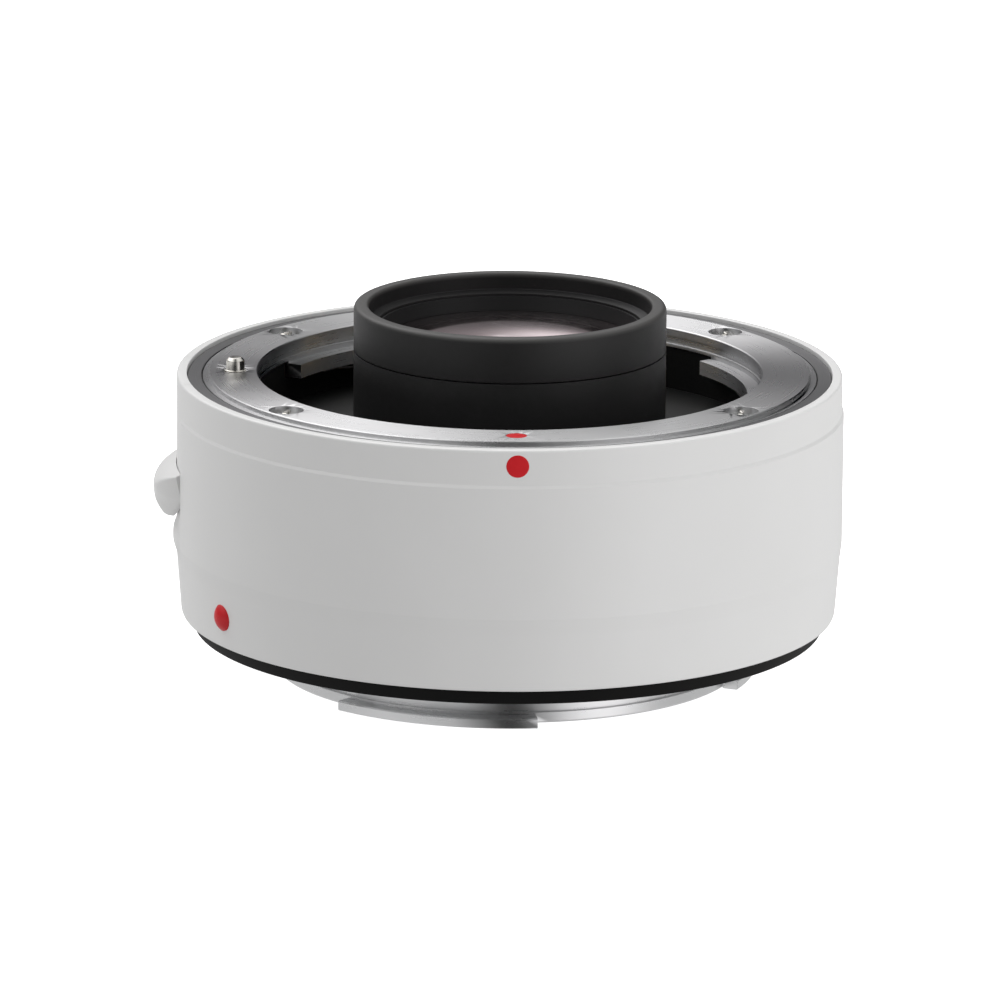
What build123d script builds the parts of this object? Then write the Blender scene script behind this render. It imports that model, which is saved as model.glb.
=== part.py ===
from build123d import *
import math
import os

# Short teleconverter that fits between a camera and a lens, in millimetres.
# The optical axis is Z. Z = 0 is the face that meets the camera, and the lens side is up.
# Angles are in degrees, anticlockwise seen from the lens side. The index dot is at -90.

os.makedirs("parts", exist_ok=True)

# Clearances shared by every fit
fit_gap = 0.03          # press and thread fits, on the radius
run_gap = 0.06          # running fits, on the radius
part_gap = 0.1          # between neighbouring shells
free_gap = 0.3          # between pieces that must not touch
overrun = 0.5           # how far a cut runs past what it cuts

# Radii of the lens side, from the throat outwards
throat_r = 27.15        # nominal 54 mm throat
flange_width = 5.2      # polished face that the lens rests on
shoulder_width = 0.65
trim_width = 1.5
lip_wall = 1.1
band_step = 0.2
flange_r = throat_r + flange_width
ring_r = flange_r + shoulder_width
trim_inner_r = ring_r + part_gap
trim_outer_r = trim_inner_r + trim_width
lip_inner_r = trim_outer_r + part_gap
top_band_r = lip_inner_r + lip_wall
body_r = top_band_r + band_step

# Heights of the lens side
mount_height = 27.2     # flange face to flange face
lip_drop = 0.1
shoulder_drop = 0.5
trim_drop = 0.45
ring_thickness = 2.1
clamp_thickness = 0.6
ring_base = mount_height - ring_thickness
clamp_top = ring_base + clamp_thickness

# Bayonet tabs of the lens side
tab_reach = 1.55
tab_drop = 2.35
tab_thickness = 1.55
tab_root_width = 1.05
groove_drop = 0.85      # shallow groove round the throat
groove_height = 0.9
groove_depth = 0.2
tab_angles = ((-23.5, 34.5), (96.0, 151.0), (213.0, 285.5))
tab_r = throat_r - tab_reach
tab_root_r = throat_r + tab_root_width
tab_top = mount_height - tab_drop
tab_bottom = tab_top - tab_thickness

# Bayonet lugs of the camera side
tube_gap = 0.5          # tube inside the tabs of the camera
rim_gap = 0.2
lug_gap = 0.3
tube_wall = 1.2
rim_start = 4.0
rim_depth = 5.2
lug_start = 4.3
lug_depth = 5.4
lug_bevel = 0.12
rim_bevel = 0.25
lug_angles = ((-24.5, 35.0), (92.0, 152.0), (226.5, 275.5))
tube_r = tab_r - tube_gap
rim_r = tab_r - rim_gap
lug_r = throat_r - lug_gap
tube_bore_r = tube_r - tube_wall

# Camera-side plate and its rubber ring
plate_thickness = 2.0
plate_bevel = 0.2
seal_width = 1.95
seal_drop = 0.74
seal_lip_width = 0.65
seal_lip_inset = 0.82

# Outer housing
housing_wall = 1.5
shelf_overlap = 1.2
shelf_thickness = 1.1
top_band_share = 4.0 / 27.2         # of the mount height, as are the next two
main_band_share = 14.3 / 27.2
bevel_share = 1.7 / 27.2
bevel_step = 0.2
tail_inset = 0.45
foot_step = 0.08
foot_wall = 0.52                    # outside the rubber ring
foot_height = 0.2
housing_bottom = 1.0
lip_round = 0.5
lip_inner_round = 0.3
housing_bore_r = body_r - housing_wall
shelf_r = lip_inner_r - shelf_overlap
shelf_base = ring_base - shelf_thickness
housing_top = mount_height - lip_drop
step_z = mount_height - mount_height * top_band_share
line_z = step_z - mount_height * main_band_share
bevel_z = line_z - mount_height * bevel_share
bevel_r = body_r - bevel_step
tail_r = bevel_r - tail_inset
foot_r = tail_r - foot_step
seal_outer_r = foot_r - foot_wall
seal_inner_r = seal_outer_r - seal_width
plate_r = seal_inner_r - part_gap
foot_z = housing_bottom + foot_height

# Main frame that carries both mounts and the barrel
frame_step = 1.2
frame_wall = 2.3
frame_wall_inset = 1.1
web_share = 13.0 / 27.2             # height of the web's underside, of the mount height
web_thickness = 1.4
foot_flange = 1.4
foot_flange_width = 7.9
boss_depth = 5.3
upper_boss_r = 1.8
lower_boss_r = 2.4
frame_flange_r = housing_bore_r - part_gap
frame_nose_r = shelf_r - part_gap
frame_wall_r = frame_flange_r - frame_wall_inset
frame_wall_bore_r = frame_wall_r - frame_wall
frame_bore_r = tab_root_r + run_gap + part_gap
frame_shoulder = shelf_base
frame_shelf = frame_shoulder - frame_step
web_bottom = mount_height * web_share
frame_foot_top = plate_thickness + foot_flange
frame_foot_bore_r = frame_flange_r - foot_flange_width
web_top = web_bottom + web_thickness

# Screws: head radius, head height, shank radius
mount_screw_head_r = 1.75
mount_screw_head = 0.7
mount_screw_shank_r = 0.95
mount_screw_length = 6.4
mount_screw_sink = 0.12
mount_screw_inset = 3.15            # from the throat
mount_screw_angles = (37.5, 142.5, 217.5, 322.5)
small_screw_head_r = 0.95
small_screw_head = 0.5
small_screw_shank_r = 0.5
cross_width = 0.42
cross_share = 1.2                   # length of the cross, in head radii
cross_depth_share = 0.6             # depth of the cross, in head heights
camera_screw_angles = (45.0, 135.0, 225.0, 315.0)
camera_screw_inset = 3.3            # from the plate's edge
camera_screw_length = 5.6
mount_screw_ring_r = throat_r + mount_screw_inset
camera_screw_ring_r = plate_r - camera_screw_inset

# Hood and optical barrel
well_width = 10.35                  # from the hood to the throat
hood_rise = 7.3
hood_height = 4.8
hood_wall = 1.6
hood_round = 0.55
hood_inner_round = 0.3
ledge_drop = 1.8
ledge_slope = 0.25
glass_gap = 0.05
front_glass_inset = 2.65            # from the hood's outside
spigot_wall = 1.3
spigot_height = 1.5
barrel_floor_width = 1.0
barrel_flange_width = 3.2
barrel_flange = 1.2
rear_barrel_step = 0.2
barrel_tail = 3.8
barrel_screw_angles = (30.0, 150.0, 270.0)
barrel_r = throat_r - well_width
rear_barrel_r = barrel_r + rear_barrel_step
front_glass_r = barrel_r - front_glass_inset
hood_top = mount_height + hood_rise
seam_z = hood_top - hood_height
hood_bore_r = barrel_r - hood_wall
glass_bore_r = front_glass_r + glass_gap
spigot_r = glass_bore_r + spigot_wall
spigot_top = seam_z + spigot_height
ledge_z = hood_top - ledge_drop
barrel_flange_r = barrel_r + barrel_flange_width
barrel_screw_ring_r = barrel_r + barrel_flange_width / 2

# Glass, as shares of the optical length: how far each surface drops at its edge (positive where it
# bulges to the lens side), and the thickness of each element at the axis
front_drop_share = 1.692 / 35.55
front_cement_drop_share = -2.731 / 35.55
front_back_drop_share = 1.445 / 35.55
middle_front_drop_share = -2.283 / 35.55
middle_cement_drop_share = 2.586 / 35.55
middle_second_drop_share = -2.283 / 35.55
middle_back_drop_share = 1.119 / 35.55
rear_front_drop_share = 2.319 / 35.55
rear_cement_drop_share = -1.918 / 35.55
rear_back_drop_share = 0.947 / 35.55
front_crown_share = 5.6 / 35.55
front_flint_share = 1.4 / 35.55
middle_flint_share = 1.4 / 35.55
middle_crown_share = 6.0 / 35.55
middle_back_share = 1.4 / 35.55
rear_crown_share = 5.4 / 35.55
rear_flint_share = 1.4 / 35.55
rear_spacer_share = 3.1 / 35.55
cement_gap = 0.02
front_vertex_depth = 2.3            # front glass below the hood's top
rear_glass_inset = 1.95             # from the rear barrel's outside
rear_ring_height = 0.45
spacer_wall = 0.9
retaining_width = 0.75
notch_width = 1.2                   # spanner notches in the retaining rings
notch_depth = 0.5
rear_notch_depth = 0.25
rear_glass_r = rear_barrel_r - rear_glass_inset
front_vertex = hood_top - front_vertex_depth
rear_face = -barrel_tail + rear_ring_height
optical_length = front_vertex - rear_face

# Well round the hood
well_depth = 6.8
well_wall = 0.4
well_gap = 0.15
well_floor = 1.0
well_skirt_inset = 0.6
well_skirt_wall = 1.2
well_r = throat_r + well_gap
well_floor_z = mount_height - well_depth

# Lock pin
lock_angle = 180.0
lock_inset = 2.35                   # from the throat
lock_pin_r = 1.0
lock_pin_rise = 1.4
lock_pin_bevel = 0.3
lock_guide_r = 1.2                  # the pin's shank below its tip
lock_guide_rise = 0.08
lock_collar_r = 1.5
lock_collar = 0.8
lock_collar_drop = 6.8
lock_tail = 1.0
lock_tail_r = 0.8                   # inside the spring
lock_mouth_r = 1.4
lock_mouth_depth = 0.2
lock_hole_r = 1.15
lock_hole_depth = 1.7
lock_spring_wire_r = 0.16
lock_spring_turns = 5
lock_ring_r = throat_r + lock_inset
lock_collar_top = mount_height - lock_collar_drop
lock_collar_bottom = lock_collar_top - lock_collar
lock_hole_ring_r = lock_ring_r

# Release lever, as distances out from the body's main band and down from the flange
lever_travel = 2.0
lever_drop_share = 9.0 / 27.2       # of the mount height, as is the next one
lever_height_share = 6.3 / 27.2
lever_reach = 2.48
lever_slope_reach = 1.9
lever_slope_share = 1.25 / 6.3      # of the lever's height
lever_foot_reach = 1.2
lever_waist_share = 3.05 / 6.3      # widest place, above the underside
lever_half_width = 6.1
lever_round = 0.25
lever_relief = 0.6
lever_relief_share = 2.2 / 6.3
stem_drop_share = 2.2 / 6.3
stem_height_share = 1.8 / 6.3
stem_half_width = 2.5
slot_gap = 0.15
channel_depth = 0.15
channel_margin = 0.3
channel_half_width = 6.85           # along the arc
thumb_boss_rise = 0.4
thumb_boss_share = 4.4 / 27.2       # height, of the mount height
thumb_boss_crown = 0.6
lever_height = mount_height * lever_height_share
lever_top = mount_height - mount_height * lever_drop_share
lever_bottom = lever_top - lever_height
lever_relief_height = lever_height * lever_relief_share
thumb_boss_height = mount_height * thumb_boss_share
stem_top = lever_top - lever_height * stem_drop_share
stem_bottom = stem_top - lever_height * stem_height_share
channel_r = body_r - channel_depth
channel_half_angle = math.degrees(channel_half_width / body_r)

# Carriage, guide posts and return springs behind the lever
carriage_gap = 0.7                  # from the housing's bore
carriage_plate = 1.0
carriage_half_width = 4.6
arm_thickness = 0.8
arm_half_width = 2.2
arm_reach = 1.2                     # past the pin's axis
arm_gap = 0.05
foot_thickness = 0.8
foot_drop = 1.6                     # below the frame's web
foot_reach = 2.8
post_r = 0.6
post_half_span = 3.5
post_inset = 1.6                    # from the plate's inner face
post_seat = 0.8
return_spring_wire_r = 0.16
return_spring_r = 0.95
return_spring_turns = 6
carriage_outer_x = housing_bore_r - carriage_gap
carriage_inner_x = carriage_outer_x - carriage_plate
post_x = carriage_inner_x - post_inset
arm_bottom = lock_collar_top + arm_gap
arm_top = arm_bottom + arm_thickness
foot_top = web_bottom - foot_drop
foot_bottom = foot_top - foot_thickness
lever_screw_half_span = 1.5

# Electrical contacts
contact_count = 11
contact_spacing = 2.111             # along the arc, as are the next three
block_end_margin = 1.32
ear_width = 2.262
flex_tongue_half_width = 2.262
contact_middle_angle = 90.0
ear_thickness = 1.6
block_depth = 3.6
block_margin = 0.5                  # inside the camera-side tube
pocket_margin_angle = 1.0           # past each end of a block or tab
baffle_gap = 0.05
lens_block_drop = 5.2
pin_rise = 1.2
pin_round = 0.36
pin_r = 0.45
pin_collar_r = 0.75
pin_collar = 0.6
pin_stem_r = 0.32
pin_stem = 2.1
block_cap = 1.2
block_floor = 0.8
pin_bore_r = 0.87
contact_wire_r = 0.09
contact_spring_r = 0.62
contact_spring_turns = 5
camera_block_depth = 4.4            # below the mount face
camera_block_top = 1.5
pad_r = 0.75
pad_thickness = 0.3
pad_rise = 0.05
flex_thickness = 0.2
flex_margin = 0.6
block_outer_r = tube_bore_r - block_margin
block_inner_r = block_outer_r - block_depth
contact_ring_r = block_outer_r - block_depth / 2
contact_arc_angle = math.degrees(1 / contact_ring_r)   # of one millimetre
contact_pitch = contact_spacing * contact_arc_angle
flex_tongue_half_angle = flex_tongue_half_width * contact_arc_angle
ear_angle = ear_width * contact_arc_angle
lens_block_top = mount_height - lens_block_drop
cap_z = lens_block_top - block_cap
spring_floor_z = web_top + block_floor
contact_half_span = contact_pitch * (contact_count - 1) / 2
block_half_angle = contact_half_span + block_end_margin * contact_arc_angle
ear_middle = block_half_angle + ear_angle / 2
pocket_start = contact_middle_angle - block_half_angle - pocket_margin_angle
pocket_end = contact_middle_angle + block_half_angle + pocket_margin_angle
flex_slot_start = contact_middle_angle - contact_half_span - pocket_margin_angle
flex_slot_end = contact_middle_angle + contact_half_span + pocket_margin_angle

# Circuit board under the web
board_drop = 3.7
board_thickness = 0.8
board_gap = 1.2
board_outer_inset = 0.4             # from the lower bosses
board_gap_half_angle = 30.0
board_screw_angles = (0.0, 130.0, 220.0)
board_post_r = 1.5
processor_side = 5.0
processor_height = 1.0
driver_side = 3.4
driver_height = 0.8
passive_length = 1.6
passive_width = 0.9
passive_height = 0.6
chip_angles = (45.0, 165.0)
driver_angles = (20.0, 110.0, 190.0)
passive_angles = (-20.0, -10.0, 7.0, 66.0, 72.0, 140.0, 148.0, 205.0)
board_top = web_bottom - board_drop
board_bottom = board_top - board_thickness
board_inner_r = rear_barrel_r + board_gap
board_outer_r = camera_screw_ring_r - lower_boss_r - board_outer_inset
board_ring_r = (board_inner_r + board_outer_r) / 2

# Light baffle inside the camera-side tube
baffle_depth = 3.2
baffle_floor = 1.0
baffle_wall = 0.35
baffle_flange = 0.8
baffle_flange_width = 1.1

# Leaf springs under the tabs
leaf_thickness = 0.2
leaf_width = 1.1
leaf_inset = 0.25                   # from the tab's inner edge
leaf_bow = 0.35
leaf_half_angle = 17.0
leaf_angle_shares = (-1.0, -0.72, -0.45, 0.0, 0.45, 0.72, 1.0)
leaf_bow_shares = (0.0, 0.0, 0.8, 1.0, 0.8, 0.0, 0.0)

# Index marks
dot_r = 1.2
dot_depth = 0.45
dot_drop = 1.82
flange_dot_r = 1.1
flange_dot_depth = 0.4
flange_dot_inset = 2.45
flange_dot_sink = 0.04
bead_r = 1.47
bead_rise = 0.7
bead_stem_r = 1.0
bead_seat_depth = 0.2
bead_share = 3.2 / 6.0              # height of the bead, of the tail
bead_angle = -150.0
index_angle = -90.0
bead_z = foot_z + (bevel_z - foot_z) * bead_share
bead_seat_r = tail_r + tail_inset * bead_share - bead_seat_depth


def polar(radius, angle, height):
    """A point at a radius, an angle and a height."""
    return (radius * math.cos(math.radians(angle)), radius * math.sin(math.radians(angle)), height)


def ring(inner_r, outer_r, low, high, mode=Mode.ADD):
    """A flat ring about the optical axis."""
    with BuildSketch(Plane.XY.offset(low)) as outline:
        Circle(outer_r)
        if inner_r > 0:
            Circle(inner_r, mode=Mode.SUBTRACT)
    extrude(outline.sketch, amount=high - low, mode=mode)


def sector(inner_r, outer_r, start, end, low, high, mode=Mode.ADD):
    """Part of a flat ring, between two angles."""
    with BuildSketch(Plane.XY.offset(low)) as outline:
        with BuildLine():
            CenterArc((0, 0), outer_r, start, end - start)
            CenterArc((0, 0), inner_r, start, end - start)
            Line(polar(inner_r, start, 0)[:2], polar(outer_r, start, 0)[:2])
            Line(polar(inner_r, end, 0)[:2], polar(outer_r, end, 0)[:2])
        make_face()
    extrude(outline.sketch, amount=high - low, mode=mode)


def turned(points, mode=Mode.ADD):
    """A lathe profile of (radius, height) points turned about the optical axis."""
    with BuildSketch(Plane.XZ) as profile:
        with BuildLine():
            Polyline(*points, close=True)
        make_face()
    revolve(profile.sketch, axis=Axis.Z, mode=mode)


def post(x, y, radius, low, high, mode=Mode.ADD):
    """An upright round bar or hole."""
    with Locations((x, y, (low + high) / 2)):
        Cylinder(radius, high - low, mode=mode)


def posts(ring_radius, angles, radius, low, high, mode=Mode.ADD):
    """Upright bars or holes on a circle."""
    for angle in angles:
        x, y = polar(ring_radius, angle, 0)[:2]
        post(x, y, radius, low, high, mode)


def lever_block(inner_x, outer_x, half_width, low, high, mode=Mode.ADD):
    """A box on the lever's side, between two distances from the axis."""
    with Locations((-(inner_x + outer_x) / 2, 0, (low + high) / 2)):
        Box(outer_x - inner_x, 2 * half_width, high - low, mode=mode)


def cross_screw(head_r, head_height, shank_r, length):
    """A cross-head screw that points down, with the top of its head at zero."""
    cross_depth = head_height * cross_depth_share
    with BuildPart() as screw:
        with Locations((0, 0, -head_height / 2)):
            Cylinder(head_r, head_height)
        top_edge = screw.edges().filter_by(GeomType.CIRCLE).sort_by(Axis.Z)[-1]
        fillet(top_edge, head_height / 4)
        post(0, 0, shank_r, -head_height - length, -head_height)
        for turn in (0, 90):
            with Locations(Location((0, 0, -cross_depth / 2), (0, 0, turn))):
                Box(head_r * cross_share, cross_width, cross_depth, mode=Mode.SUBTRACT)
    return screw.part


def coil(mean_r, wire_r, length, turns):
    """One compression spring that stands on the XY plane."""
    rise = length - 2 * wire_r
    with BuildPart() as spring:
        with BuildLine(Plane.XY.offset(wire_r)) as path:
            Helix(pitch=rise / turns, height=rise, radius=mean_r)
        with BuildSketch(Plane(path.line @ 0, z_dir=path.line % 0)) as wire:
            Circle(wire_r)
        sweep(wire.sketch, path=path.line)
    return spring.part


def ball_radius(edge_r, drop):
    """The radius of a spherical surface that drops this far at its edge."""
    return (edge_r ** 2 + drop ** 2) / (2 * drop)


def sag(surface_radius, r):
    """How far a lens surface has dropped below its vertex at a radius."""
    depth = abs(surface_radius) - math.sqrt(surface_radius ** 2 - r ** 2)
    return math.copysign(depth, surface_radius)


def lens_element(top_vertex, top_drop, bottom_vertex, bottom_drop, edge_r):
    """A round lens element between two spherical surfaces."""
    half_r = edge_r / 2
    top_radius = ball_radius(edge_r, top_drop)
    bottom_radius = ball_radius(edge_r, bottom_drop)
    top = [(r, top_vertex - sag(top_radius, r)) for r in (0, half_r, edge_r)]
    bottom = [(r, bottom_vertex - sag(bottom_radius, r)) for r in (0, half_r, edge_r)]
    with BuildPart() as element:
        with BuildSketch(Plane.XZ) as profile:
            with BuildLine():
                ThreePointArc(*top)
                Line(top[-1], bottom[-1])
                ThreePointArc(*bottom)
                Line(bottom[0], top[0])
            make_face()
        revolve(axis=Axis.Z)
    return element.part


def side_plane(angle, height):
    """A plane at the optical axis that faces out at an angle, with Z up in it."""
    return Plane(origin=(0, 0, height), x_dir=polar(1, angle + 90, 0), z_dir=polar(1, angle, 0))


def save(built, name):
    """Labels a finished piece and writes its file."""
    built.part.label = name
    export_step(built.part, f"parts/{name}.step")


# Outer housing: white shell with a shelf inside its lip, a channel for the lever and a boss below it
with BuildPart() as outer_housing:
    turned([
        (foot_r, housing_bottom), (tail_r, foot_z), (bevel_r, bevel_z), (body_r, line_z),
        (body_r, step_z), (top_band_r, step_z), (top_band_r, housing_top),
        (lip_inner_r, housing_top), (lip_inner_r, ring_base), (shelf_r, ring_base),
        (shelf_r, shelf_base), (housing_bore_r, shelf_base), (housing_bore_r, housing_bottom),
    ])
    ring(0, seal_outer_r + part_gap, housing_bottom, plate_thickness, mode=Mode.SUBTRACT)
    lip_edges = outer_housing.edges().filter_by(GeomType.CIRCLE).group_by(Axis.Z)[-1]
    fillet(lip_edges.sort_by(SortBy.RADIUS)[-1], lip_round)
    lip_edges = outer_housing.edges().filter_by(GeomType.CIRCLE).group_by(Axis.Z)[-1]
    fillet(lip_edges.sort_by(SortBy.RADIUS)[0], lip_inner_round)
    channel_start = lock_angle - channel_half_angle
    channel_end = lock_angle + channel_half_angle
    boss_top = lever_bottom
    boss_crown_top = boss_top - thumb_boss_height / 2 + thumb_boss_crown / 2
    boss_bottom = boss_top - thumb_boss_height
    sector(channel_r, body_r + overrun, channel_start, channel_end,
           boss_bottom + thumb_boss_height / 2, lever_top + channel_margin, mode=Mode.SUBTRACT)
    boss_points = [
        (housing_bore_r + housing_wall / 2, boss_top), (channel_r, boss_top),
        (body_r + thumb_boss_rise, boss_crown_top),
        (body_r + thumb_boss_rise, boss_crown_top - thumb_boss_crown),
        (bevel_r, boss_bottom), (housing_bore_r + housing_wall / 2, boss_bottom),
    ]
    with BuildPart(mode=Mode.PRIVATE) as thumb_boss:
        turned(boss_points)
        sector(housing_bore_r, body_r + lever_reach, channel_start, channel_end,
               boss_bottom - overrun, boss_top + overrun, mode=Mode.INTERSECT)
    add(thumb_boss.part)
    lever_block(housing_bore_r - overrun, body_r + overrun, stem_half_width + slot_gap,
                stem_bottom - lever_travel - slot_gap, stem_top + slot_gap, mode=Mode.SUBTRACT)
    with BuildSketch(side_plane(index_angle, mount_height - dot_drop)) as dot_outline:
        Circle(dot_r + fit_gap)
    with BuildPart(mode=Mode.PRIVATE) as dot_pocket:
        extrude(dot_outline.sketch, amount=body_r + overrun)
        ring(0, top_band_r - dot_depth, 0, mount_height, mode=Mode.SUBTRACT)
    add(dot_pocket.part, mode=Mode.SUBTRACT)
    with BuildSketch(side_plane(bead_angle, bead_z)) as bead_hole_outline:
        Circle(bead_stem_r + fit_gap)
    extrude(bead_hole_outline.sketch, amount=body_r + overrun, mode=Mode.SUBTRACT)
    with BuildSketch(side_plane(bead_angle, bead_z).offset(bead_seat_r)) as bead_seat_outline:
        Circle(bead_r + fit_gap)
    extrude(bead_seat_outline.sketch, amount=body_r, mode=Mode.SUBTRACT)
save(outer_housing, "outer_housing")

# Trim ring: dark ring between the white lip and the flange
with BuildPart() as front_trim_ring:
    trim_top = mount_height - trim_drop
    ring(trim_inner_r, trim_outer_r, clamp_top, trim_top)
    chamfer(front_trim_ring.edges().filter_by(GeomType.CIRCLE).group_by(Axis.Z)[-1], part_gap)
save(front_trim_ring, "front_trim_ring")

# Lens mount ring: female bayonet with three tabs, a raised flange face and a clamping flange
with BuildPart() as lens_mount_ring:
    ring(throat_r, lip_inner_r - free_gap, ring_base, clamp_top)
    ring(throat_r, ring_r, clamp_top, mount_height - shoulder_drop)
    ring(throat_r, flange_r, mount_height - shoulder_drop, mount_height)
    flange_edges = lens_mount_ring.edges().filter_by(GeomType.CIRCLE).group_by(Axis.Z)[-1]
    chamfer(flange_edges, lip_drop)
    groove_top = mount_height - groove_drop
    ring(0, throat_r + groove_depth, groove_top - groove_height, groove_top, mode=Mode.SUBTRACT)
    for start, end in tab_angles:
        sector(throat_r, tab_root_r, start, end, tab_bottom, ring_base)
        sector(tab_r, throat_r + part_gap, start, end, tab_bottom, tab_top)
    for angle in mount_screw_angles:
        x, y = polar(mount_screw_ring_r, angle, 0)[:2]
        sink = mount_screw_head + mount_screw_sink
        post(x, y, mount_screw_head_r + part_gap, mount_height - sink, mount_height + overrun, Mode.SUBTRACT)
        post(x, y, mount_screw_shank_r + run_gap, ring_base, mount_height, Mode.SUBTRACT)
    pin_x, pin_y = polar(lock_ring_r, lock_angle, 0)[:2]
    post(pin_x, pin_y, lock_guide_r + run_gap, ring_base, mount_height, Mode.SUBTRACT)
    post(pin_x, pin_y, lock_mouth_r, mount_height - lock_mouth_depth, mount_height + overrun, Mode.SUBTRACT)
    dot_x, dot_y = polar(throat_r + flange_dot_inset, index_angle, 0)[:2]
    post(dot_x, dot_y, flange_dot_r + fit_gap, mount_height - flange_dot_depth,
         mount_height + overrun, Mode.SUBTRACT)
save(lens_mount_ring, "lens_mount_ring")

# Four cross-head screws that hold the mount ring to the frame
with BuildPart() as lens_mount_screws:
    mount_screw = cross_screw(mount_screw_head_r, mount_screw_head, mount_screw_shank_r, mount_screw_length)
    for angle in mount_screw_angles:
        screw_place = polar(mount_screw_ring_r, angle, mount_height - mount_screw_sink)
        with Locations(Location(screw_place, (0, 0, angle))):
            add(mount_screw)
save(lens_mount_screws, "lens_mount_screws")

# Three bowed strips under the tabs that pull a lens against the flange
with BuildPart() as lens_mount_leaf_springs:
    leaf_r = tab_r + leaf_inset + leaf_width / 2
    leaf_top = tab_bottom
    for start, end in tab_angles:
        sections = []
        for angle_share, bow_share in zip(leaf_angle_shares, leaf_bow_shares):
            angle = (start + end) / 2 + leaf_half_angle * angle_share
            leaf_z = leaf_top - leaf_thickness / 2 - leaf_bow * bow_share
            section_plane = Plane(origin=(0, 0, leaf_z), x_dir=polar(1, angle, 0),
                                  z_dir=polar(1, angle - 90, 0))
            with BuildSketch(section_plane) as leaf_section:
                with Locations((leaf_r, 0)):
                    Rectangle(leaf_width, leaf_thickness)
            sections.append(leaf_section.sketch)
        loft(sections, ruled=True)
save(lens_mount_leaf_springs, "lens_mount_leaf_springs")

# Lock pin with its collar, and the spring that lifts it
lock_pin_top = mount_height + lock_pin_rise
lock_pin_bottom = web_bottom + lock_tail / 2
lock_guide_top = mount_height + lock_guide_rise
with BuildPart() as lock_pin:
    post(pin_x, pin_y, lock_pin_r, lock_guide_top, lock_pin_top)
    chamfer(lock_pin.edges().filter_by(GeomType.CIRCLE).sort_by(Axis.Z)[-1], lock_pin_bevel)
    post(pin_x, pin_y, lock_guide_r, lock_collar_top, lock_guide_top)
    post(pin_x, pin_y, lock_tail_r, lock_pin_bottom, lock_collar_bottom)
    post(pin_x, pin_y, lock_collar_r, lock_collar_bottom, lock_collar_top)
save(lock_pin, "lock_pin")

with BuildPart() as lock_pin_spring:
    lock_spring_r = lock_collar_r - lock_spring_wire_r
    with Locations((pin_x, pin_y, web_top)):
        add(coil(lock_spring_r, lock_spring_wire_r, lock_collar_bottom - web_top, lock_spring_turns))
save(lock_pin_spring, "lock_pin_spring")

# Release lever: a rounded thumb piece with a sloped top and a stem through the housing
with BuildPart() as release_lever:
    lever_sagitta = lever_reach + body_r - math.sqrt(body_r ** 2 - lever_half_width ** 2)
    lever_plan_r = (lever_half_width ** 2 + lever_sagitta ** 2) / (2 * lever_sagitta)
    lever_side = [
        (-body_r + lever_reach, lever_top), (-body_r, lever_top),
        (-body_r - lever_slope_reach, lever_top - lever_height * lever_slope_share),
    ]
    lever_front = (-body_r - lever_reach, lever_bottom + lever_height * lever_waist_share)
    lever_toe = (-body_r - lever_foot_reach, lever_bottom)
    with BuildSketch(Plane.XZ):
        with BuildLine():
            Polyline(*lever_side)
            ThreePointArc(lever_side[-1], lever_front, lever_toe)
            Polyline(lever_toe, (-body_r + lever_reach, lever_bottom), lever_side[0])
        make_face()
    extrude(amount=lever_half_width, both=True)
    with BuildPart(mode=Mode.PRIVATE) as lever_plan:
        post(-(body_r + lever_reach - lever_plan_r), 0, lever_plan_r,
             lever_bottom - overrun, lever_top + overrun)
    add(lever_plan.part, mode=Mode.INTERSECT)
    ring(0, body_r, lever_bottom - overrun, lever_top + overrun, mode=Mode.SUBTRACT)
    outer_edges = release_lever.edges().filter_by_position(
        Axis.X, -body_r - lever_reach - overrun, -body_r - part_gap)
    fillet(outer_edges, lever_round)
    turned([
        (0, lever_bottom - overrun), (body_r + lever_relief, lever_bottom - overrun),
        (body_r + lever_relief, lever_bottom), (body_r, lever_bottom + lever_relief_height),
        (0, lever_bottom + lever_relief_height),
    ], mode=Mode.SUBTRACT)
    lever_block(carriage_outer_x, body_r + lever_relief, stem_half_width, stem_bottom, stem_top)
    for side in (-1, 1):
        with Locations(Location((-(body_r + carriage_outer_x) / 2, side * lever_screw_half_span,
                                 (stem_top + stem_bottom) / 2), (0, 90, 0))):
            Cylinder(small_screw_shank_r + fit_gap, body_r - carriage_outer_x, mode=Mode.SUBTRACT)
save(release_lever, "release_lever")

# Carriage: plate with a forked arm over the pin's collar and a foot on the guide posts
stem_middle = (stem_top + stem_bottom) / 2
with BuildPart() as lever_carriage:
    lever_block(carriage_inner_x, carriage_outer_x, carriage_half_width, foot_bottom, arm_top)
    lever_block(lock_ring_r - arm_reach, carriage_outer_x, arm_half_width, arm_bottom, arm_top)
    lever_block(carriage_inner_x - foot_reach, carriage_outer_x, carriage_half_width,
                foot_bottom, foot_top)
    post(pin_x, pin_y, lock_guide_r + part_gap, arm_bottom, arm_top, Mode.SUBTRACT)
    lever_block(lock_ring_r - arm_reach - overrun, lock_ring_r, lock_guide_r + part_gap,
                arm_bottom, arm_top, mode=Mode.SUBTRACT)
    for side in (-1, 1):
        post(-post_x, side * post_half_span, post_r + run_gap, foot_bottom, foot_top, Mode.SUBTRACT)
        with Locations(Location((-carriage_inner_x, side * lever_screw_half_span, stem_middle), (0, 90, 0))):
            Cylinder(small_screw_shank_r + run_gap, 2 * carriage_plate + overrun, mode=Mode.SUBTRACT)
save(lever_carriage, "lever_carriage")

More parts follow.
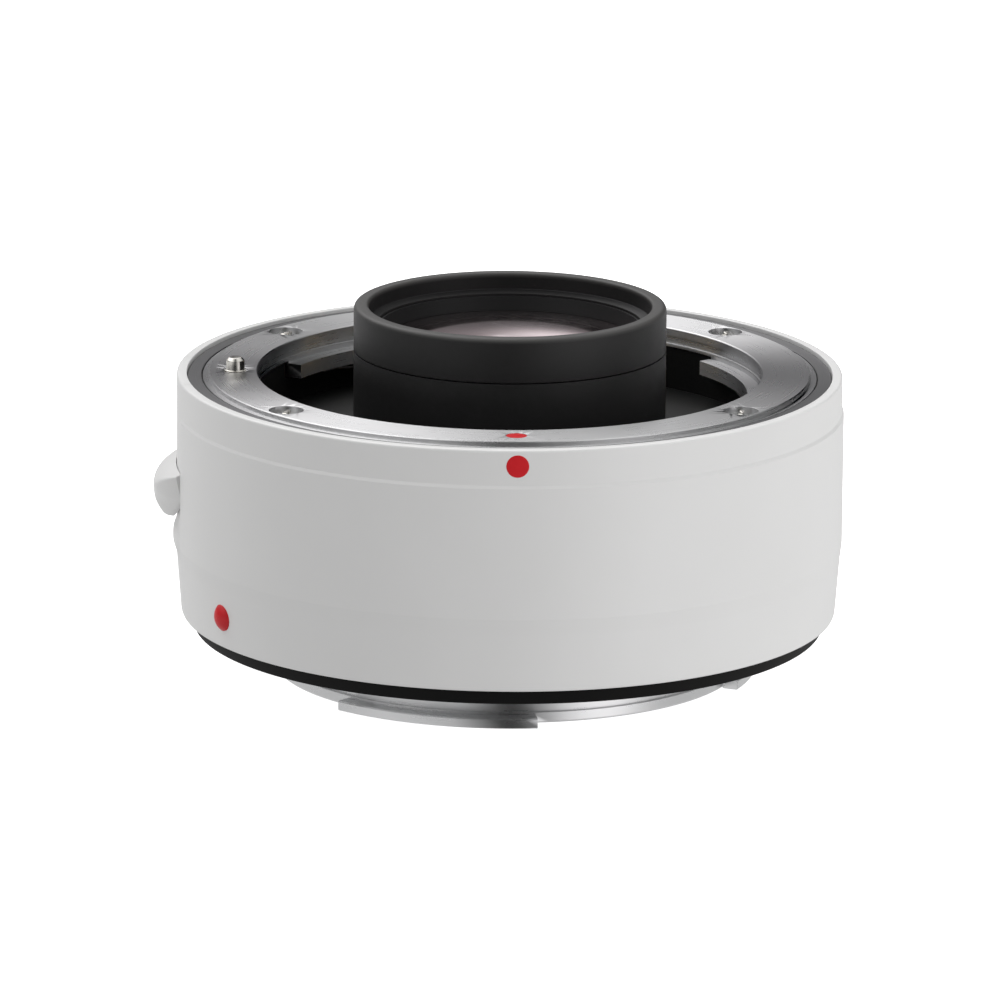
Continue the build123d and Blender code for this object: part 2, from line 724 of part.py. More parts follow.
# Two screws that fasten the carriage to the lever's stem
with BuildPart() as lever_screws:
    stem_screw_length = carriage_plate + (body_r - carriage_outer_x) / 2
    stem_screw = cross_screw(small_screw_head_r, small_screw_head, small_screw_shank_r, stem_screw_length)
    for side in (-1, 1):
        with Locations(Location((-carriage_inner_x + small_screw_head, side * lever_screw_half_span,
                                 stem_middle), (0, 90, 0))):
            add(stem_screw)
save(lever_screws, "lever_screws")

# Guide posts, seated in the frame's foot flange and its web
with BuildPart() as lever_guide_posts:
    for side in (-1, 1):
        post(-post_x, side * post_half_span, post_r, frame_foot_top - post_seat, web_bottom + post_seat)
save(lever_guide_posts, "lever_guide_posts")

# Return springs on the guide posts
with BuildPart() as lever_return_springs:
    return_spring_length = foot_bottom - frame_foot_top
    return_spring = coil(return_spring_r, return_spring_wire_r, return_spring_length, return_spring_turns)
    for side in (-1, 1):
        with Locations((-post_x, side * post_half_span, frame_foot_top)):
            add(return_spring)
save(lever_return_springs, "lever_return_springs")

# Index marks: two flush dots and a raised bead
with BuildPart() as body_index_dot:
    with BuildSketch(side_plane(index_angle, mount_height - dot_drop)) as dot_face:
        Circle(dot_r)
    extrude(dot_face.sketch, amount=body_r)
    ring(top_band_r - dot_depth, top_band_r, 0, mount_height, mode=Mode.INTERSECT)
save(body_index_dot, "body_index_dot")

with BuildPart() as flange_index_dot:
    post(dot_x, dot_y, flange_dot_r, mount_height - flange_dot_depth, mount_height - flange_dot_sink)
save(flange_index_dot, "flange_index_dot")

bead_top = bead_seat_r + bead_seat_depth + bead_rise
bead_ball_r = ball_radius(bead_r, bead_rise)
bead_dome = [(r, bead_top - sag(bead_ball_r, r)) for r in (0, bead_r / 2, bead_r)]
with BuildPart() as side_index_bead:
    with BuildPart(mode=Mode.PRIVATE) as bead:
        with BuildSketch(Plane.XZ):
            with BuildLine():
                ThreePointArc(*bead_dome)
                Polyline(bead_dome[-1], (bead_r, bead_seat_r), (bead_stem_r, bead_seat_r),
                         (bead_stem_r, housing_bore_r), (0, housing_bore_r), bead_dome[0])
            make_face()
        revolve(axis=Axis.Z)
    with Locations(side_plane(bead_angle, bead_z).location):
        add(bead.part)
save(side_index_bead, "side_index_bead")

# Main frame: cast ring with a web, two mounting faces, screw bosses and a window for the lever
contact_start = contact_middle_angle - contact_half_span
contact_angles = [contact_start + contact_pitch * i for i in range(contact_count)]
ear_angles = (contact_middle_angle - ear_middle, contact_middle_angle + ear_middle)
with BuildPart() as main_frame:
    ring(frame_bore_r, frame_nose_r, frame_shelf, ring_base)
    ring(frame_bore_r, frame_flange_r, frame_shelf, frame_shoulder)
    ring(frame_wall_bore_r, frame_wall_r, plate_thickness, frame_shelf)
    ring(barrel_r + part_gap, frame_wall_bore_r + part_gap, web_bottom, web_top)
    ring(frame_foot_bore_r, frame_flange_r, plate_thickness, frame_foot_top)
    posts(mount_screw_ring_r, mount_screw_angles, upper_boss_r, frame_shelf - boss_depth, ring_base)
    posts(camera_screw_ring_r, camera_screw_angles, lower_boss_r, plate_thickness, web_bottom)
    posts(board_ring_r, board_screw_angles, board_post_r, board_top, web_bottom)
    posts(mount_screw_ring_r, mount_screw_angles, mount_screw_shank_r + fit_gap,
          mount_height - mount_screw_length - mount_screw_head - part_gap - mount_screw_sink, ring_base,
          Mode.SUBTRACT)
    posts(camera_screw_ring_r, camera_screw_angles, mount_screw_shank_r + fit_gap,
          plate_thickness, camera_screw_length + mount_screw_head + mount_screw_sink + part_gap,
          Mode.SUBTRACT)
    posts(board_ring_r, board_screw_angles, small_screw_shank_r + fit_gap, board_top,
          web_bottom + part_gap, Mode.SUBTRACT)
    posts(barrel_screw_ring_r, barrel_screw_angles, small_screw_shank_r + fit_gap, web_bottom, web_top,
          Mode.SUBTRACT)
    posts(contact_ring_r, ear_angles, small_screw_shank_r + fit_gap, web_bottom, web_top, Mode.SUBTRACT)
    window_x = carriage_inner_x - free_gap
    window_y = carriage_half_width + free_gap
    lever_block(window_x, frame_flange_r + overrun, window_y, frame_foot_top, frame_shelf, mode=Mode.SUBTRACT)
    lever_block(carriage_inner_x - foot_reach - free_gap, frame_flange_r, window_y,
                frame_foot_top, web_bottom, mode=Mode.SUBTRACT)
    lever_block(lock_ring_r - arm_reach - free_gap, frame_flange_r, window_y,
                web_top, frame_shelf, mode=Mode.SUBTRACT)
    lever_block(carriage_inner_x - small_screw_head - free_gap, frame_flange_r,
                lever_screw_half_span + small_screw_head_r + part_gap, web_bottom, web_top,
                mode=Mode.SUBTRACT)
    post(pin_x, pin_y, lock_tail_r + part_gap, web_bottom, web_top, Mode.SUBTRACT)
    post(pin_x, pin_y, lock_guide_r + part_gap, frame_shelf, ring_base, Mode.SUBTRACT)
    for side in (-1, 1):
        post(-post_x, side * post_half_span, post_r + fit_gap, frame_foot_top - post_seat,
             web_bottom + post_seat, Mode.SUBTRACT)
    sector(contact_ring_r - flex_margin * 2, block_outer_r, flex_slot_start, flex_slot_end,
           web_bottom, web_top, mode=Mode.SUBTRACT)
save(main_frame, "main_frame")

# Liner: black cup round the hood that stands on the web, with walls between the bayonet tabs
with BuildPart() as well_liner:
    liner_outer_r = well_r + well_wall
    skirt_outer_r = liner_outer_r - well_skirt_inset
    gap_starts = [end + pocket_margin_angle for start, end in tab_angles]
    next_tabs = tab_angles[1:] + ((tab_angles[0][0] + 360, tab_angles[0][1] + 360),)
    gap_ends = [start - pocket_margin_angle for start, end in next_tabs]
    ring(barrel_r + part_gap, liner_outer_r, well_floor_z - well_floor, well_floor_z)
    ring(well_r, liner_outer_r, well_floor_z, tab_bottom - part_gap)
    ring(skirt_outer_r - well_skirt_wall, skirt_outer_r, web_top, well_floor_z - well_floor)
    for start, end in zip(gap_starts, gap_ends):
        sector(well_r, liner_outer_r, start, end, well_floor_z, ring_base)
    sector(block_inner_r - part_gap, block_outer_r + part_gap, pocket_start, pocket_end,
           web_top, well_floor_z, mode=Mode.SUBTRACT)
save(well_liner, "well_liner")

# Lens-side contact block, its sprung pins and their springs
with BuildPart() as lens_contact_block:
    sector(block_inner_r, block_outer_r, contact_middle_angle - block_half_angle,
           contact_middle_angle + block_half_angle, web_top, lens_block_top)
    sector(block_inner_r, block_outer_r, contact_middle_angle - block_half_angle - ear_angle,
           contact_middle_angle + block_half_angle + ear_angle, web_top, web_top + ear_thickness)
    posts(contact_ring_r, contact_angles, pin_bore_r, spring_floor_z, cap_z, Mode.SUBTRACT)
    posts(contact_ring_r, contact_angles, pin_r + run_gap, cap_z, lens_block_top, Mode.SUBTRACT)
    posts(contact_ring_r, ear_angles, small_screw_shank_r + run_gap, web_top, web_top + ear_thickness,
          Mode.SUBTRACT)
save(lens_contact_block, "lens_contact_block")

collar_top = cap_z - arm_gap
collar_bottom = collar_top - pin_collar
for number, angle in enumerate(contact_angles, start=1):
    x, y = polar(contact_ring_r, angle, 0)[:2]
    with BuildPart() as contact_pin:
        post(x, y, pin_r, collar_bottom, lens_block_top + pin_rise)
        fillet(contact_pin.edges().filter_by(GeomType.CIRCLE).sort_by(Axis.Z)[-1], pin_round)
        post(x, y, pin_collar_r, collar_bottom, collar_top)
        post(x, y, pin_stem_r, collar_bottom - pin_stem, collar_bottom)
    save(contact_pin, f"contact_pin_{number}")

with BuildPart() as contact_springs:
    contact_spring_length = collar_bottom - spring_floor_z
    contact_spring = coil(contact_spring_r, contact_wire_r, contact_spring_length, contact_spring_turns)
    for angle in contact_angles:
        with Locations(polar(contact_ring_r, angle, spring_floor_z)):
            add(contact_spring)
save(contact_springs, "contact_springs")

with BuildPart() as lens_contact_screws:
    ear_screw = cross_screw(small_screw_head_r, small_screw_head, small_screw_shank_r,
                            ear_thickness + web_thickness - part_gap)
    for angle in ear_angles:
        with Locations(polar(contact_ring_r, angle, web_top + ear_thickness + small_screw_head)):
            add(ear_screw)
save(lens_contact_screws, "lens_contact_screws")

# Circuit board under the web, with its packages and screws
board_start = -90 + board_gap_half_angle
board_end = 270 - board_gap_half_angle
with BuildPart() as main_board:
    sector(board_inner_r, board_outer_r, board_start, board_end, board_bottom, board_top)
    posts(board_ring_r, board_screw_angles, small_screw_shank_r + run_gap, board_bottom, board_top,
          Mode.SUBTRACT)
save(main_board, "main_board")

with BuildPart() as board_chips:
    for angle in chip_angles:
        chip_place = polar(board_ring_r, angle, board_bottom - processor_height / 2)
        with Locations(Location(chip_place, (0, 0, angle))):
            Box(processor_side, processor_side, processor_height)
    for angle in driver_angles:
        chip_place = polar(board_ring_r, angle, board_bottom - driver_height / 2)
        with Locations(Location(chip_place, (0, 0, angle))):
            Box(driver_side, driver_side, driver_height)
    for angle in passive_angles:
        chip_place = polar(board_ring_r, angle, board_bottom - passive_height / 2)
        with Locations(Location(chip_place, (0, 0, angle))):
            Box(passive_length, passive_width, passive_height)
save(board_chips, "board_chips")

with BuildPart() as board_screws:
    board_screw = cross_screw(small_screw_head_r, small_screw_head, small_screw_shank_r,
                              board_thickness + board_drop - part_gap)
    for angle in board_screw_angles:
        with Locations(Location(polar(board_ring_r, angle, board_bottom - small_screw_head), (180, 0, 0))):
            add(board_screw)
save(board_screws, "board_screws")

# Flexible circuits: a strip on each contact block, a tongue and a foot on the board
tongue_outer_r = contact_ring_r + flex_margin
tongue_start = contact_middle_angle - flex_tongue_half_angle
tongue_end = contact_middle_angle + flex_tongue_half_angle
with BuildPart() as lens_flex:
    sector(contact_ring_r - flex_margin, tongue_outer_r, contact_middle_angle - contact_half_span,
           contact_middle_angle + contact_half_span, web_top - flex_thickness, web_top)
    sector(tongue_outer_r - flex_thickness, tongue_outer_r, tongue_start, tongue_end, board_top, web_top)
    sector(contact_ring_r - flex_margin, tongue_outer_r, tongue_start, tongue_end,
           board_top, board_top + flex_thickness)
save(lens_flex, "lens_flex")

with BuildPart() as camera_flex:
    sector(contact_ring_r - flex_margin, tongue_outer_r, contact_middle_angle - contact_half_span,
           contact_middle_angle + contact_half_span, camera_block_top, camera_block_top + flex_thickness)
    sector(tongue_outer_r - flex_thickness, tongue_outer_r, tongue_start, tongue_end,
           camera_block_top, board_bottom)
    sector(contact_ring_r - flex_margin, tongue_outer_r, tongue_start, tongue_end,
           board_bottom - flex_thickness, board_bottom)
save(camera_flex, "camera_flex")

# Camera-side contact block and its flat pads
with BuildPart() as camera_contact_block:
    sector(block_inner_r, block_outer_r, contact_middle_angle - block_half_angle,
           contact_middle_angle + block_half_angle, -camera_block_depth, camera_block_top)
    ear_low = -baffle_depth + baffle_floor
    sector(block_inner_r, block_outer_r, contact_middle_angle - block_half_angle - ear_angle,
           contact_middle_angle + block_half_angle + ear_angle, ear_low, ear_low + ear_thickness)
    posts(contact_ring_r, contact_angles, pad_r + fit_gap, -camera_block_depth,
          -camera_block_depth + pad_thickness - pad_rise, Mode.SUBTRACT)
    posts(contact_ring_r, ear_angles, small_screw_shank_r + run_gap, ear_low, ear_low + ear_thickness,
          Mode.SUBTRACT)
save(camera_contact_block, "camera_contact_block")

with BuildPart() as camera_contact_pads:
    posts(contact_ring_r, contact_angles, pad_r, -camera_block_depth - pad_rise,
          -camera_block_depth - pad_rise + pad_thickness)
save(camera_contact_pads, "camera_contact_pads")

with BuildPart() as camera_contact_screws:
    camera_ear_screw = cross_screw(small_screw_head_r, small_screw_head, small_screw_shank_r,
                                   ear_thickness + baffle_floor - part_gap)
    for angle in ear_angles:
        with Locations(polar(contact_ring_r, angle, ear_low + ear_thickness + small_screw_head)):
            add(camera_ear_screw)
save(camera_contact_screws, "camera_contact_screws")

# Light baffle: black cup hung inside the camera-side tube
with BuildPart() as camera_light_baffle:
    cup_r = tube_bore_r - part_gap
    ring(rear_barrel_r + part_gap, cup_r, -baffle_depth, -baffle_depth + baffle_floor)
    ring(cup_r - baffle_wall, cup_r, -baffle_depth, plate_thickness + baffle_flange)
    ring(cup_r - baffle_wall, cup_r + baffle_flange_width, plate_thickness, plate_thickness + baffle_flange)
    sector(block_inner_r - part_gap, block_outer_r + baffle_gap, pocket_start, pocket_end,
           -baffle_depth, -baffle_depth + baffle_floor, mode=Mode.SUBTRACT)
    posts(contact_ring_r, ear_angles, small_screw_shank_r + fit_gap, -baffle_depth,
          -baffle_depth + baffle_floor, Mode.SUBTRACT)
save(camera_light_baffle, "camera_light_baffle")

# Camera mount: plate, tube with a turned rim, and three lugs
with BuildPart() as camera_mount:
    turned([
        (tube_bore_r, plate_thickness), (plate_r, plate_thickness), (plate_r, plate_bevel),
        (plate_r - plate_bevel, 0), (tube_r, 0), (tube_r, -rim_start), (rim_r, -rim_start),
        (rim_r, -rim_depth + rim_bevel), (rim_r - rim_bevel, -rim_depth), (tube_bore_r, -rim_depth),
    ])
    for start, end in lug_angles:
        with BuildPart(mode=Mode.PRIVATE) as lug:
            turned([
                (tube_r, -lug_start), (lug_r - lug_bevel, -lug_start), (lug_r, -lug_start - lug_bevel),
                (lug_r, -lug_depth + lug_bevel), (lug_r - lug_bevel, -lug_depth), (tube_r, -lug_depth),
            ])
            sector(tube_bore_r, lug_r + overrun, start, end, -lug_depth - overrun, 0, mode=Mode.INTERSECT)
        add(lug.part)
    for angle in camera_screw_angles:
        x, y = polar(camera_screw_ring_r, angle, 0)[:2]
        post(x, y, mount_screw_head_r + part_gap, -overrun, mount_screw_head + mount_screw_sink,
             Mode.SUBTRACT)
        post(x, y, mount_screw_shank_r + run_gap, 0, plate_thickness, Mode.SUBTRACT)
    post(-lock_hole_ring_r, 0, lock_hole_r, -overrun, lock_hole_depth, Mode.SUBTRACT)
save(camera_mount, "camera_mount")

with BuildPart() as camera_mount_screws:
    camera_screw = cross_screw(mount_screw_head_r, mount_screw_head, mount_screw_shank_r, camera_screw_length)
    for angle in camera_screw_angles:
        with Locations(Location(polar(camera_screw_ring_r, angle, mount_screw_sink), (180, 0, angle))):
            add(camera_screw)
save(camera_mount_screws, "camera_mount_screws")

# Rubber ring that seals against the camera
with BuildPart() as camera_seal_ring:
    lip_outer_r = seal_outer_r - seal_lip_inset
    turned([
        (seal_inner_r, plate_thickness), (seal_outer_r, plate_thickness), (seal_outer_r, housing_bottom),
        (lip_outer_r, -seal_drop), (lip_outer_r - seal_lip_width, -seal_drop), (seal_inner_r, 0),
    ])
save(camera_seal_ring, "camera_seal_ring")

# Glass, stacked on the barrel's floor and hung from the hood
front_ball_r = ball_radius(front_glass_r, optical_length * front_drop_share)
rear_ball_r = ball_radius(rear_glass_r, optical_length * rear_front_drop_share)
front_cement_z = front_vertex - optical_length * front_crown_share
front_back_z = front_cement_z - optical_length * front_flint_share
front_edge_bottom = front_back_z - optical_length * front_back_drop_share
rear_back_z = rear_face + optical_length * rear_back_drop_share
rear_cement_z = rear_back_z + optical_length * rear_flint_share
rear_front_z = rear_cement_z + optical_length * rear_crown_share
rear_seat_z = rear_front_z - sag(rear_ball_r, rear_glass_r - spacer_wall) + cement_gap
floor_bottom = rear_seat_z + optical_length * rear_spacer_share
floor_top = floor_bottom + barrel_floor_width
middle_back_z = floor_top + optical_length * middle_back_drop_share
middle_second_z = middle_back_z + optical_length * middle_back_share
middle_cement_z = middle_second_z + optical_length * middle_crown_share
middle_front_z = middle_cement_z + optical_length * middle_flint_share
middle_edge_top = middle_front_z - optical_length * middle_front_drop_share
surfaces = [
    (front_vertex, front_drop_share, front_cement_z, front_cement_drop_share, front_glass_r),
    (front_cement_z - cement_gap, front_cement_drop_share, front_back_z, front_back_drop_share,
     front_glass_r),
    (middle_front_z, middle_front_drop_share, middle_cement_z, middle_cement_drop_share, front_glass_r),
    (middle_cement_z - cement_gap, middle_cement_drop_share, middle_second_z, middle_second_drop_share,
     front_glass_r),
    (middle_second_z - cement_gap, middle_second_drop_share, middle_back_z, middle_back_drop_share,
     front_glass_r),
    (rear_front_z, rear_front_drop_share, rear_cement_z, rear_cement_drop_share, rear_glass_r),
    (rear_cement_z - cement_gap, rear_cement_drop_share, rear_back_z, rear_back_drop_share, rear_glass_r),
]
for number, (top_z, top_share, bottom_z, bottom_share, edge_r) in enumerate(surfaces, start=1):
    with BuildPart() as glass:
        add(lens_element(top_z, optical_length * top_share, bottom_z, optical_length * bottom_share, edge_r))
    save(glass, f"lens_element_{number}")

# Lens barrel: stepped tube with a floor between the middle and rear glass
with BuildPart() as lens_barrel:
    rear_bore_r = rear_glass_r + glass_gap
    turned([
        (rear_bore_r, -barrel_tail), (rear_barrel_r, -barrel_tail),
        (rear_barrel_r, web_bottom - barrel_flange), (barrel_flange_r, web_bottom - barrel_flange),
        (barrel_flange_r, web_bottom), (barrel_r, web_bottom), (barrel_r, seam_z - part_gap),
        (spigot_r, seam_z - part_gap), (spigot_r, spigot_top), (glass_bore_r, spigot_top),
        (glass_bore_r, floor_top), (glass_bore_r - spacer_wall, floor_top),
        (glass_bore_r - spacer_wall, floor_bottom), (rear_bore_r, floor_bottom),
    ])
    posts(barrel_screw_ring_r, barrel_screw_angles, small_screw_shank_r + run_gap,
          web_bottom - barrel_flange, web_bottom, Mode.SUBTRACT)
save(lens_barrel, "lens_barrel")

with BuildPart() as barrel_screws:
    barrel_screw = cross_screw(small_screw_head_r, small_screw_head, small_screw_shank_r,
                               barrel_flange + web_thickness - part_gap)
    for angle in barrel_screw_angles:
        with Locations(Location(polar(barrel_screw_ring_r, angle,
                                      web_bottom - barrel_flange - small_screw_head), (180, 0, 0))):
            add(barrel_screw)
save(barrel_screws, "barrel_screws")

# Front hood: cap that screws on the barrel's spigot, with a sloped ledge inside
with BuildPart() as front_hood:
    turned([
        (spigot_r + fit_gap, seam_z), (barrel_r, seam_z), (barrel_r, hood_top), (hood_bore_r, hood_top),
        (hood_bore_r, ledge_z), (glass_bore_r, ledge_z - ledge_slope), (glass_bore_r, spigot_top + fit_gap),
        (spigot_r + fit_gap, spigot_top + fit_gap),
    ])
    rim_edges = front_hood.edges().filter_by(GeomType.CIRCLE).group_by(Axis.Z)[-1]
    fillet(rim_edges.sort_by(SortBy.RADIUS)[-1], hood_round)
    rim_edges = front_hood.edges().filter_by(GeomType.CIRCLE).group_by(Axis.Z)[-1]
    fillet(rim_edges.sort_by(SortBy.RADIUS)[0], hood_inner_round)
save(front_hood, "front_hood")

# Retaining rings and spacers of the glass
with BuildPart() as front_retaining_ring:
    ring_seat_z = front_vertex - sag(front_ball_r, front_glass_r - retaining_width) + fit_gap
    ring_top_z = ledge_z - ledge_slope - ledge_slope
    turned([
        (front_glass_r, ring_seat_z), (front_glass_r, ring_top_z),
        (front_glass_r - retaining_width / 3, ring_top_z), (front_glass_r - retaining_width, ring_seat_z),
    ])
    with Locations((0, 0, ring_top_z)):
        Box(2 * glass_bore_r + overrun, notch_width, 2 * notch_depth, mode=Mode.SUBTRACT)
save(front_retaining_ring, "front_retaining_ring")

with BuildPart() as group_spacer_front:
    ring(front_glass_r - spacer_wall, front_glass_r, middle_edge_top, front_edge_bottom)
save(group_spacer_front, "group_spacer_front")

with BuildPart() as group_spacer_rear:
    ring(rear_glass_r - spacer_wall, rear_glass_r, rear_seat_z, floor_bottom)
save(group_spacer_rear, "group_spacer_rear")

with BuildPart() as rear_retaining_ring:
    ring(rear_glass_r - spacer_wall, rear_glass_r, -barrel_tail, rear_face)
    with Locations((0, 0, -barrel_tail)):
        Box(2 * rear_barrel_r, notch_width, 2 * rear_notch_depth, mode=Mode.SUBTRACT)
save(rear_retaining_ring, "rear_retaining_ring")

print("glass from", round(rear_face, 2), "to", round(front_vertex, 2), "mm")
print("spacer between the groups", round(front_edge_bottom - middle_edge_top, 2), "mm")
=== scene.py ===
# %% [markdown]
# # A white teleconverter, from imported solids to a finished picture
#
# A teleconverter is a short barrel of lenses that sits between a camera and a long lens. Its outside is a
# white painted shell, its lens side is a ring of polished steel round a black well, and a black hood with a
# coated front glass stands up out of that well.
#
# The solids are already there: the frame holds every piece at its real size and place. What is left for
# Blender is what a lathe, a paint shop and a polishing wheel would add: rounded edges, fine grain, turning
# marks, and the thumb lever's soft shape.

# %% Load the frame
import bpy
import bmesh
import math
from mathutils import Matrix, Quaternion, Vector


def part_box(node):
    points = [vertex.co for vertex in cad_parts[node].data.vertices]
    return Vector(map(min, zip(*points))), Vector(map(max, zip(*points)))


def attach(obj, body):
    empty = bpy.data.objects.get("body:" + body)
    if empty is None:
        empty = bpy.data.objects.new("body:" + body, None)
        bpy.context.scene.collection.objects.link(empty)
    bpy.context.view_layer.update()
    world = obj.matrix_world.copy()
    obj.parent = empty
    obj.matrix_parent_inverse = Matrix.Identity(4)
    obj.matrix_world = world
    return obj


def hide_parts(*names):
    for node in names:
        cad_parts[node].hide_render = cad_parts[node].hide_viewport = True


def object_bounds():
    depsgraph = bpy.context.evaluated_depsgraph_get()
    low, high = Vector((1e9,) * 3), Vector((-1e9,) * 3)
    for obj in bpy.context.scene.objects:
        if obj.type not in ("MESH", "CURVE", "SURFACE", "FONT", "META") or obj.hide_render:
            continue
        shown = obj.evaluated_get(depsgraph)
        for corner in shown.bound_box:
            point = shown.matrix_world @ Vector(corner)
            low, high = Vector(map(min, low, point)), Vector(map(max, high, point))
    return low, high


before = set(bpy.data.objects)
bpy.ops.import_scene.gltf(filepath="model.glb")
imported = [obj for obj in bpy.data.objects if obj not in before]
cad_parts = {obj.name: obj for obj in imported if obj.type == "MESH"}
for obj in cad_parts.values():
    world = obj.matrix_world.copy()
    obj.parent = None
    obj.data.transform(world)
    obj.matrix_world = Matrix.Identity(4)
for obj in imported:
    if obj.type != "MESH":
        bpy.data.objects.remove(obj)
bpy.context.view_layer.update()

# %% [markdown]
# ## Sizes
#
# Blender works in metres here, as the frame does. The optical axis is Z, so a round piece's radius is how
# far its box reaches along X. Sizes that a box can't tell, such as the steps in a wall, are typed in
# millimetres where they are first needed.

# %% Sizes read from the frame
mm = 0.001


def radius_of(node):
    """How far a round node reaches from the optical axis."""
    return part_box(node)[1].x


def heights_of(node):
    """The lowest and highest point of a node."""
    low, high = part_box(node)
    return low.z, high.z


body_r = radius_of("outer_housing")
foot_z, lip_z = heights_of("outer_housing")
flange_z = heights_of("lens_mount_ring")[1]
trim_r = radius_of("front_trim_ring")
trim_low_z, trim_z = heights_of("front_trim_ring")
hood_r = radius_of("front_hood")
hood_low_z, hood_z = heights_of("front_hood")
seal_r = radius_of("camera_seal_ring")
seal_low_z, seal_z = heights_of("camera_seal_ring")
print("body", round(2 * body_r / mm, 1), "mm across, flange at", round(flange_z / mm, 2), "mm")

# %% [markdown]
# ## The camera
#
# The photograph was taken with a long lens from a little above. The camera stands one metre away, which is
# far enough for the gentle perspective, and the lens length then sets the size of the object in the frame.
# The object was turned a degree or so, and the picture leans a little to the right.

# %% Camera at the photograph's view
def placed(name, data):
    """A new object in the scene."""
    made = bpy.data.objects.new(name, data)
    bpy.context.scene.collection.objects.link(made)
    return made


camera_distance = 1.0
camera_elevation = math.radians(14.11)
camera_turn = math.radians(-1.4)
camera_roll = math.radians(0.41)
camera_lens = 333.6
camera_target = Vector((-0.946 * mm, 0, 12.8 * mm))

photo_camera = bpy.data.cameras.new("photo_camera")
photo_camera.lens = camera_lens
photo_camera.sensor_width = 36.0
photo_camera.clip_start = 0.05
photo_camera.clip_end = 20
camera_object = placed("photo_camera", photo_camera)
back = Vector((0, -math.cos(camera_elevation), math.sin(camera_elevation)))
turn = Matrix.Rotation(camera_turn, 3, "Z")
camera_object.location = turn @ (camera_target + back * camera_distance)
camera_object.rotation_mode = "QUATERNION"
roll = Quaternion((0, 0, 1), camera_roll)
camera_object.rotation_quaternion = (turn @ -back).to_track_quat("-Z", "Y") @ roll
bpy.context.scene.camera = camera_object
print("camera at", [round(v, 3) for v in camera_object.location])

# %% [markdown]
# ## Drawing node trees in plain arithmetic
#
# A material and a geometry modifier are both node trees, and the maths in them is easier to read as a
# formula. `Wire` stands for one output socket: adding or multiplying wires adds Math nodes to the tree.
# `Tree.node` makes any other node from its type, its settings and what goes into its sockets.

# %% A wire and a tree
class Wire:
    """One output socket. Arithmetic on it adds Math nodes to its tree."""

    def __init__(self, tree, socket):
        self.tree = tree
        self.socket = socket

    def of(self, output):
        """Another output of the same node."""
        return Wire(self.tree, self.socket.node.outputs[output])

    def math(self, operation, *others):
        sockets = dict(enumerate((self, *others)))
        return self.tree.node("ShaderNodeMath", {"operation": operation}, sockets)

    def __add__(self, other):
        return self.math("ADD", other)

    def __sub__(self, other):
        return self.math("SUBTRACT", other)

    def __mul__(self, other):
        return self.math("MULTIPLY", other)

    def __truediv__(self, other):
        return self.math("DIVIDE", other)

    def __rsub__(self, other):
        return self * -1 + other

    __radd__ = __add__
    __rmul__ = __mul__


class Tree:
    """A node tree that is being drawn."""

    def __init__(self, nodes):
        self.nodes = nodes

    def node(self, kind, settings, sockets, output=0):
        """One node: its settings first, then its sockets. The result is one of its outputs."""
        made = self.nodes.nodes.new(kind)
        for name, value in settings.items():
            if name == "stops":
                set_stops(made.color_ramp, value)
            else:
                setattr(made, name, value)
        for name, value in sockets.items():
            if isinstance(value, Wire):
                self.nodes.links.new(value.socket, made.inputs[name])
            else:
                made.inputs[name].default_value = value
        return Wire(self, made.outputs[output]) if made.outputs else made


def set_stops(ramp, stops):
    """Gives a colour ramp its stops, as (position, colour) pairs."""
    while len(ramp.elements) < len(stops):
        ramp.elements.new(1.0)
    for element, (position, colour) in zip(ramp.elements, stops):
        element.position = position
        element.color = (*colour, 1.0)


# %% [markdown]
# ## The finishes
#
# Each finish starts from the same three ingredients: the place on the piece in object coordinates, a noise
# with a size in millimetres, and a shader. The grain is what the eye reads as paint, cast metal or rubber,
# so its size matters more than its colour.

# %% Ingredients that every finish uses
class Finish(Tree):
    """A material with a Principled shader."""

    def __init__(self, name):
        self.material = bpy.data.materials.new(name)
        self.material.use_nodes = True
        super().__init__(self.material.node_tree)
        self.nodes.nodes.clear()
        self.place = self.node("ShaderNodeTexCoord", {}, {}, "Object")

    def noise(self, size, detail=2.0):
        """A soft noise whose features are about this size."""
        sockets = {"Vector": self.place, "Scale": 1 / size, "Detail": detail}
        return self.node("ShaderNodeTexNoise", {}, sockets)

    def blend(self, factor, first, second):
        """A colour between two colours."""
        return self.node("ShaderNodeMix", {"data_type": "RGBA"}, {0: factor, 6: first, 7: second}, 2)

    def bump(self, height, depth, strength=0.5):
        """A normal bent by a height, whose full range is this deep."""
        return self.node("ShaderNodeBump", {}, {"Height": height, "Distance": depth, "Strength": strength})

    def shade(self, **sockets):
        """Ends the material with a Principled shader. Underscores in the names stand for spaces."""
        named = {name.replace("_", " "): value for name, value in sockets.items()}
        shader = self.node("ShaderNodeBsdfPrincipled", {}, named)
        self.node("ShaderNodeOutputMaterial", {}, {"Surface": shader})
        return self.material


def colour(red, green, blue):
    """An opaque colour, as a socket takes it."""
    return (red, green, blue, 1.0)


def grained(name, size, detail, dark, light, roughness, bump=None, **constants):
    """A finish whose one noise gives its tone, its roughness (a base and a spread) and perhaps its bump."""
    finish = Finish(name)
    grain = finish.noise(size, detail)
    if bump:
        constants["Normal"] = finish.bump(grain, *bump)
    base, spread = roughness
    return finish.shade(Base_Color=finish.blend(grain, dark, light),
                        Roughness=grain * spread + base, **constants)


# %% [markdown]
# ### Turned metal
#
# A ring that was polished while it turned has grooves round its axis, each finer than a hair. They are too
# fine to draw, but they spread a reflection across the grooves and leave it sharp along them. That is why the
# real flange is bright at the front and back and dark at the sides. The shader's anisotropy does this: its
# tangent runs round the piece's own axis, and a quarter turn lays the spread across the grooves. A faint
# noise that changes only with radius and height gives the few grooves that can be seen.

# %% Turning marks, and the metals that have them
quarter_turn = 0.25


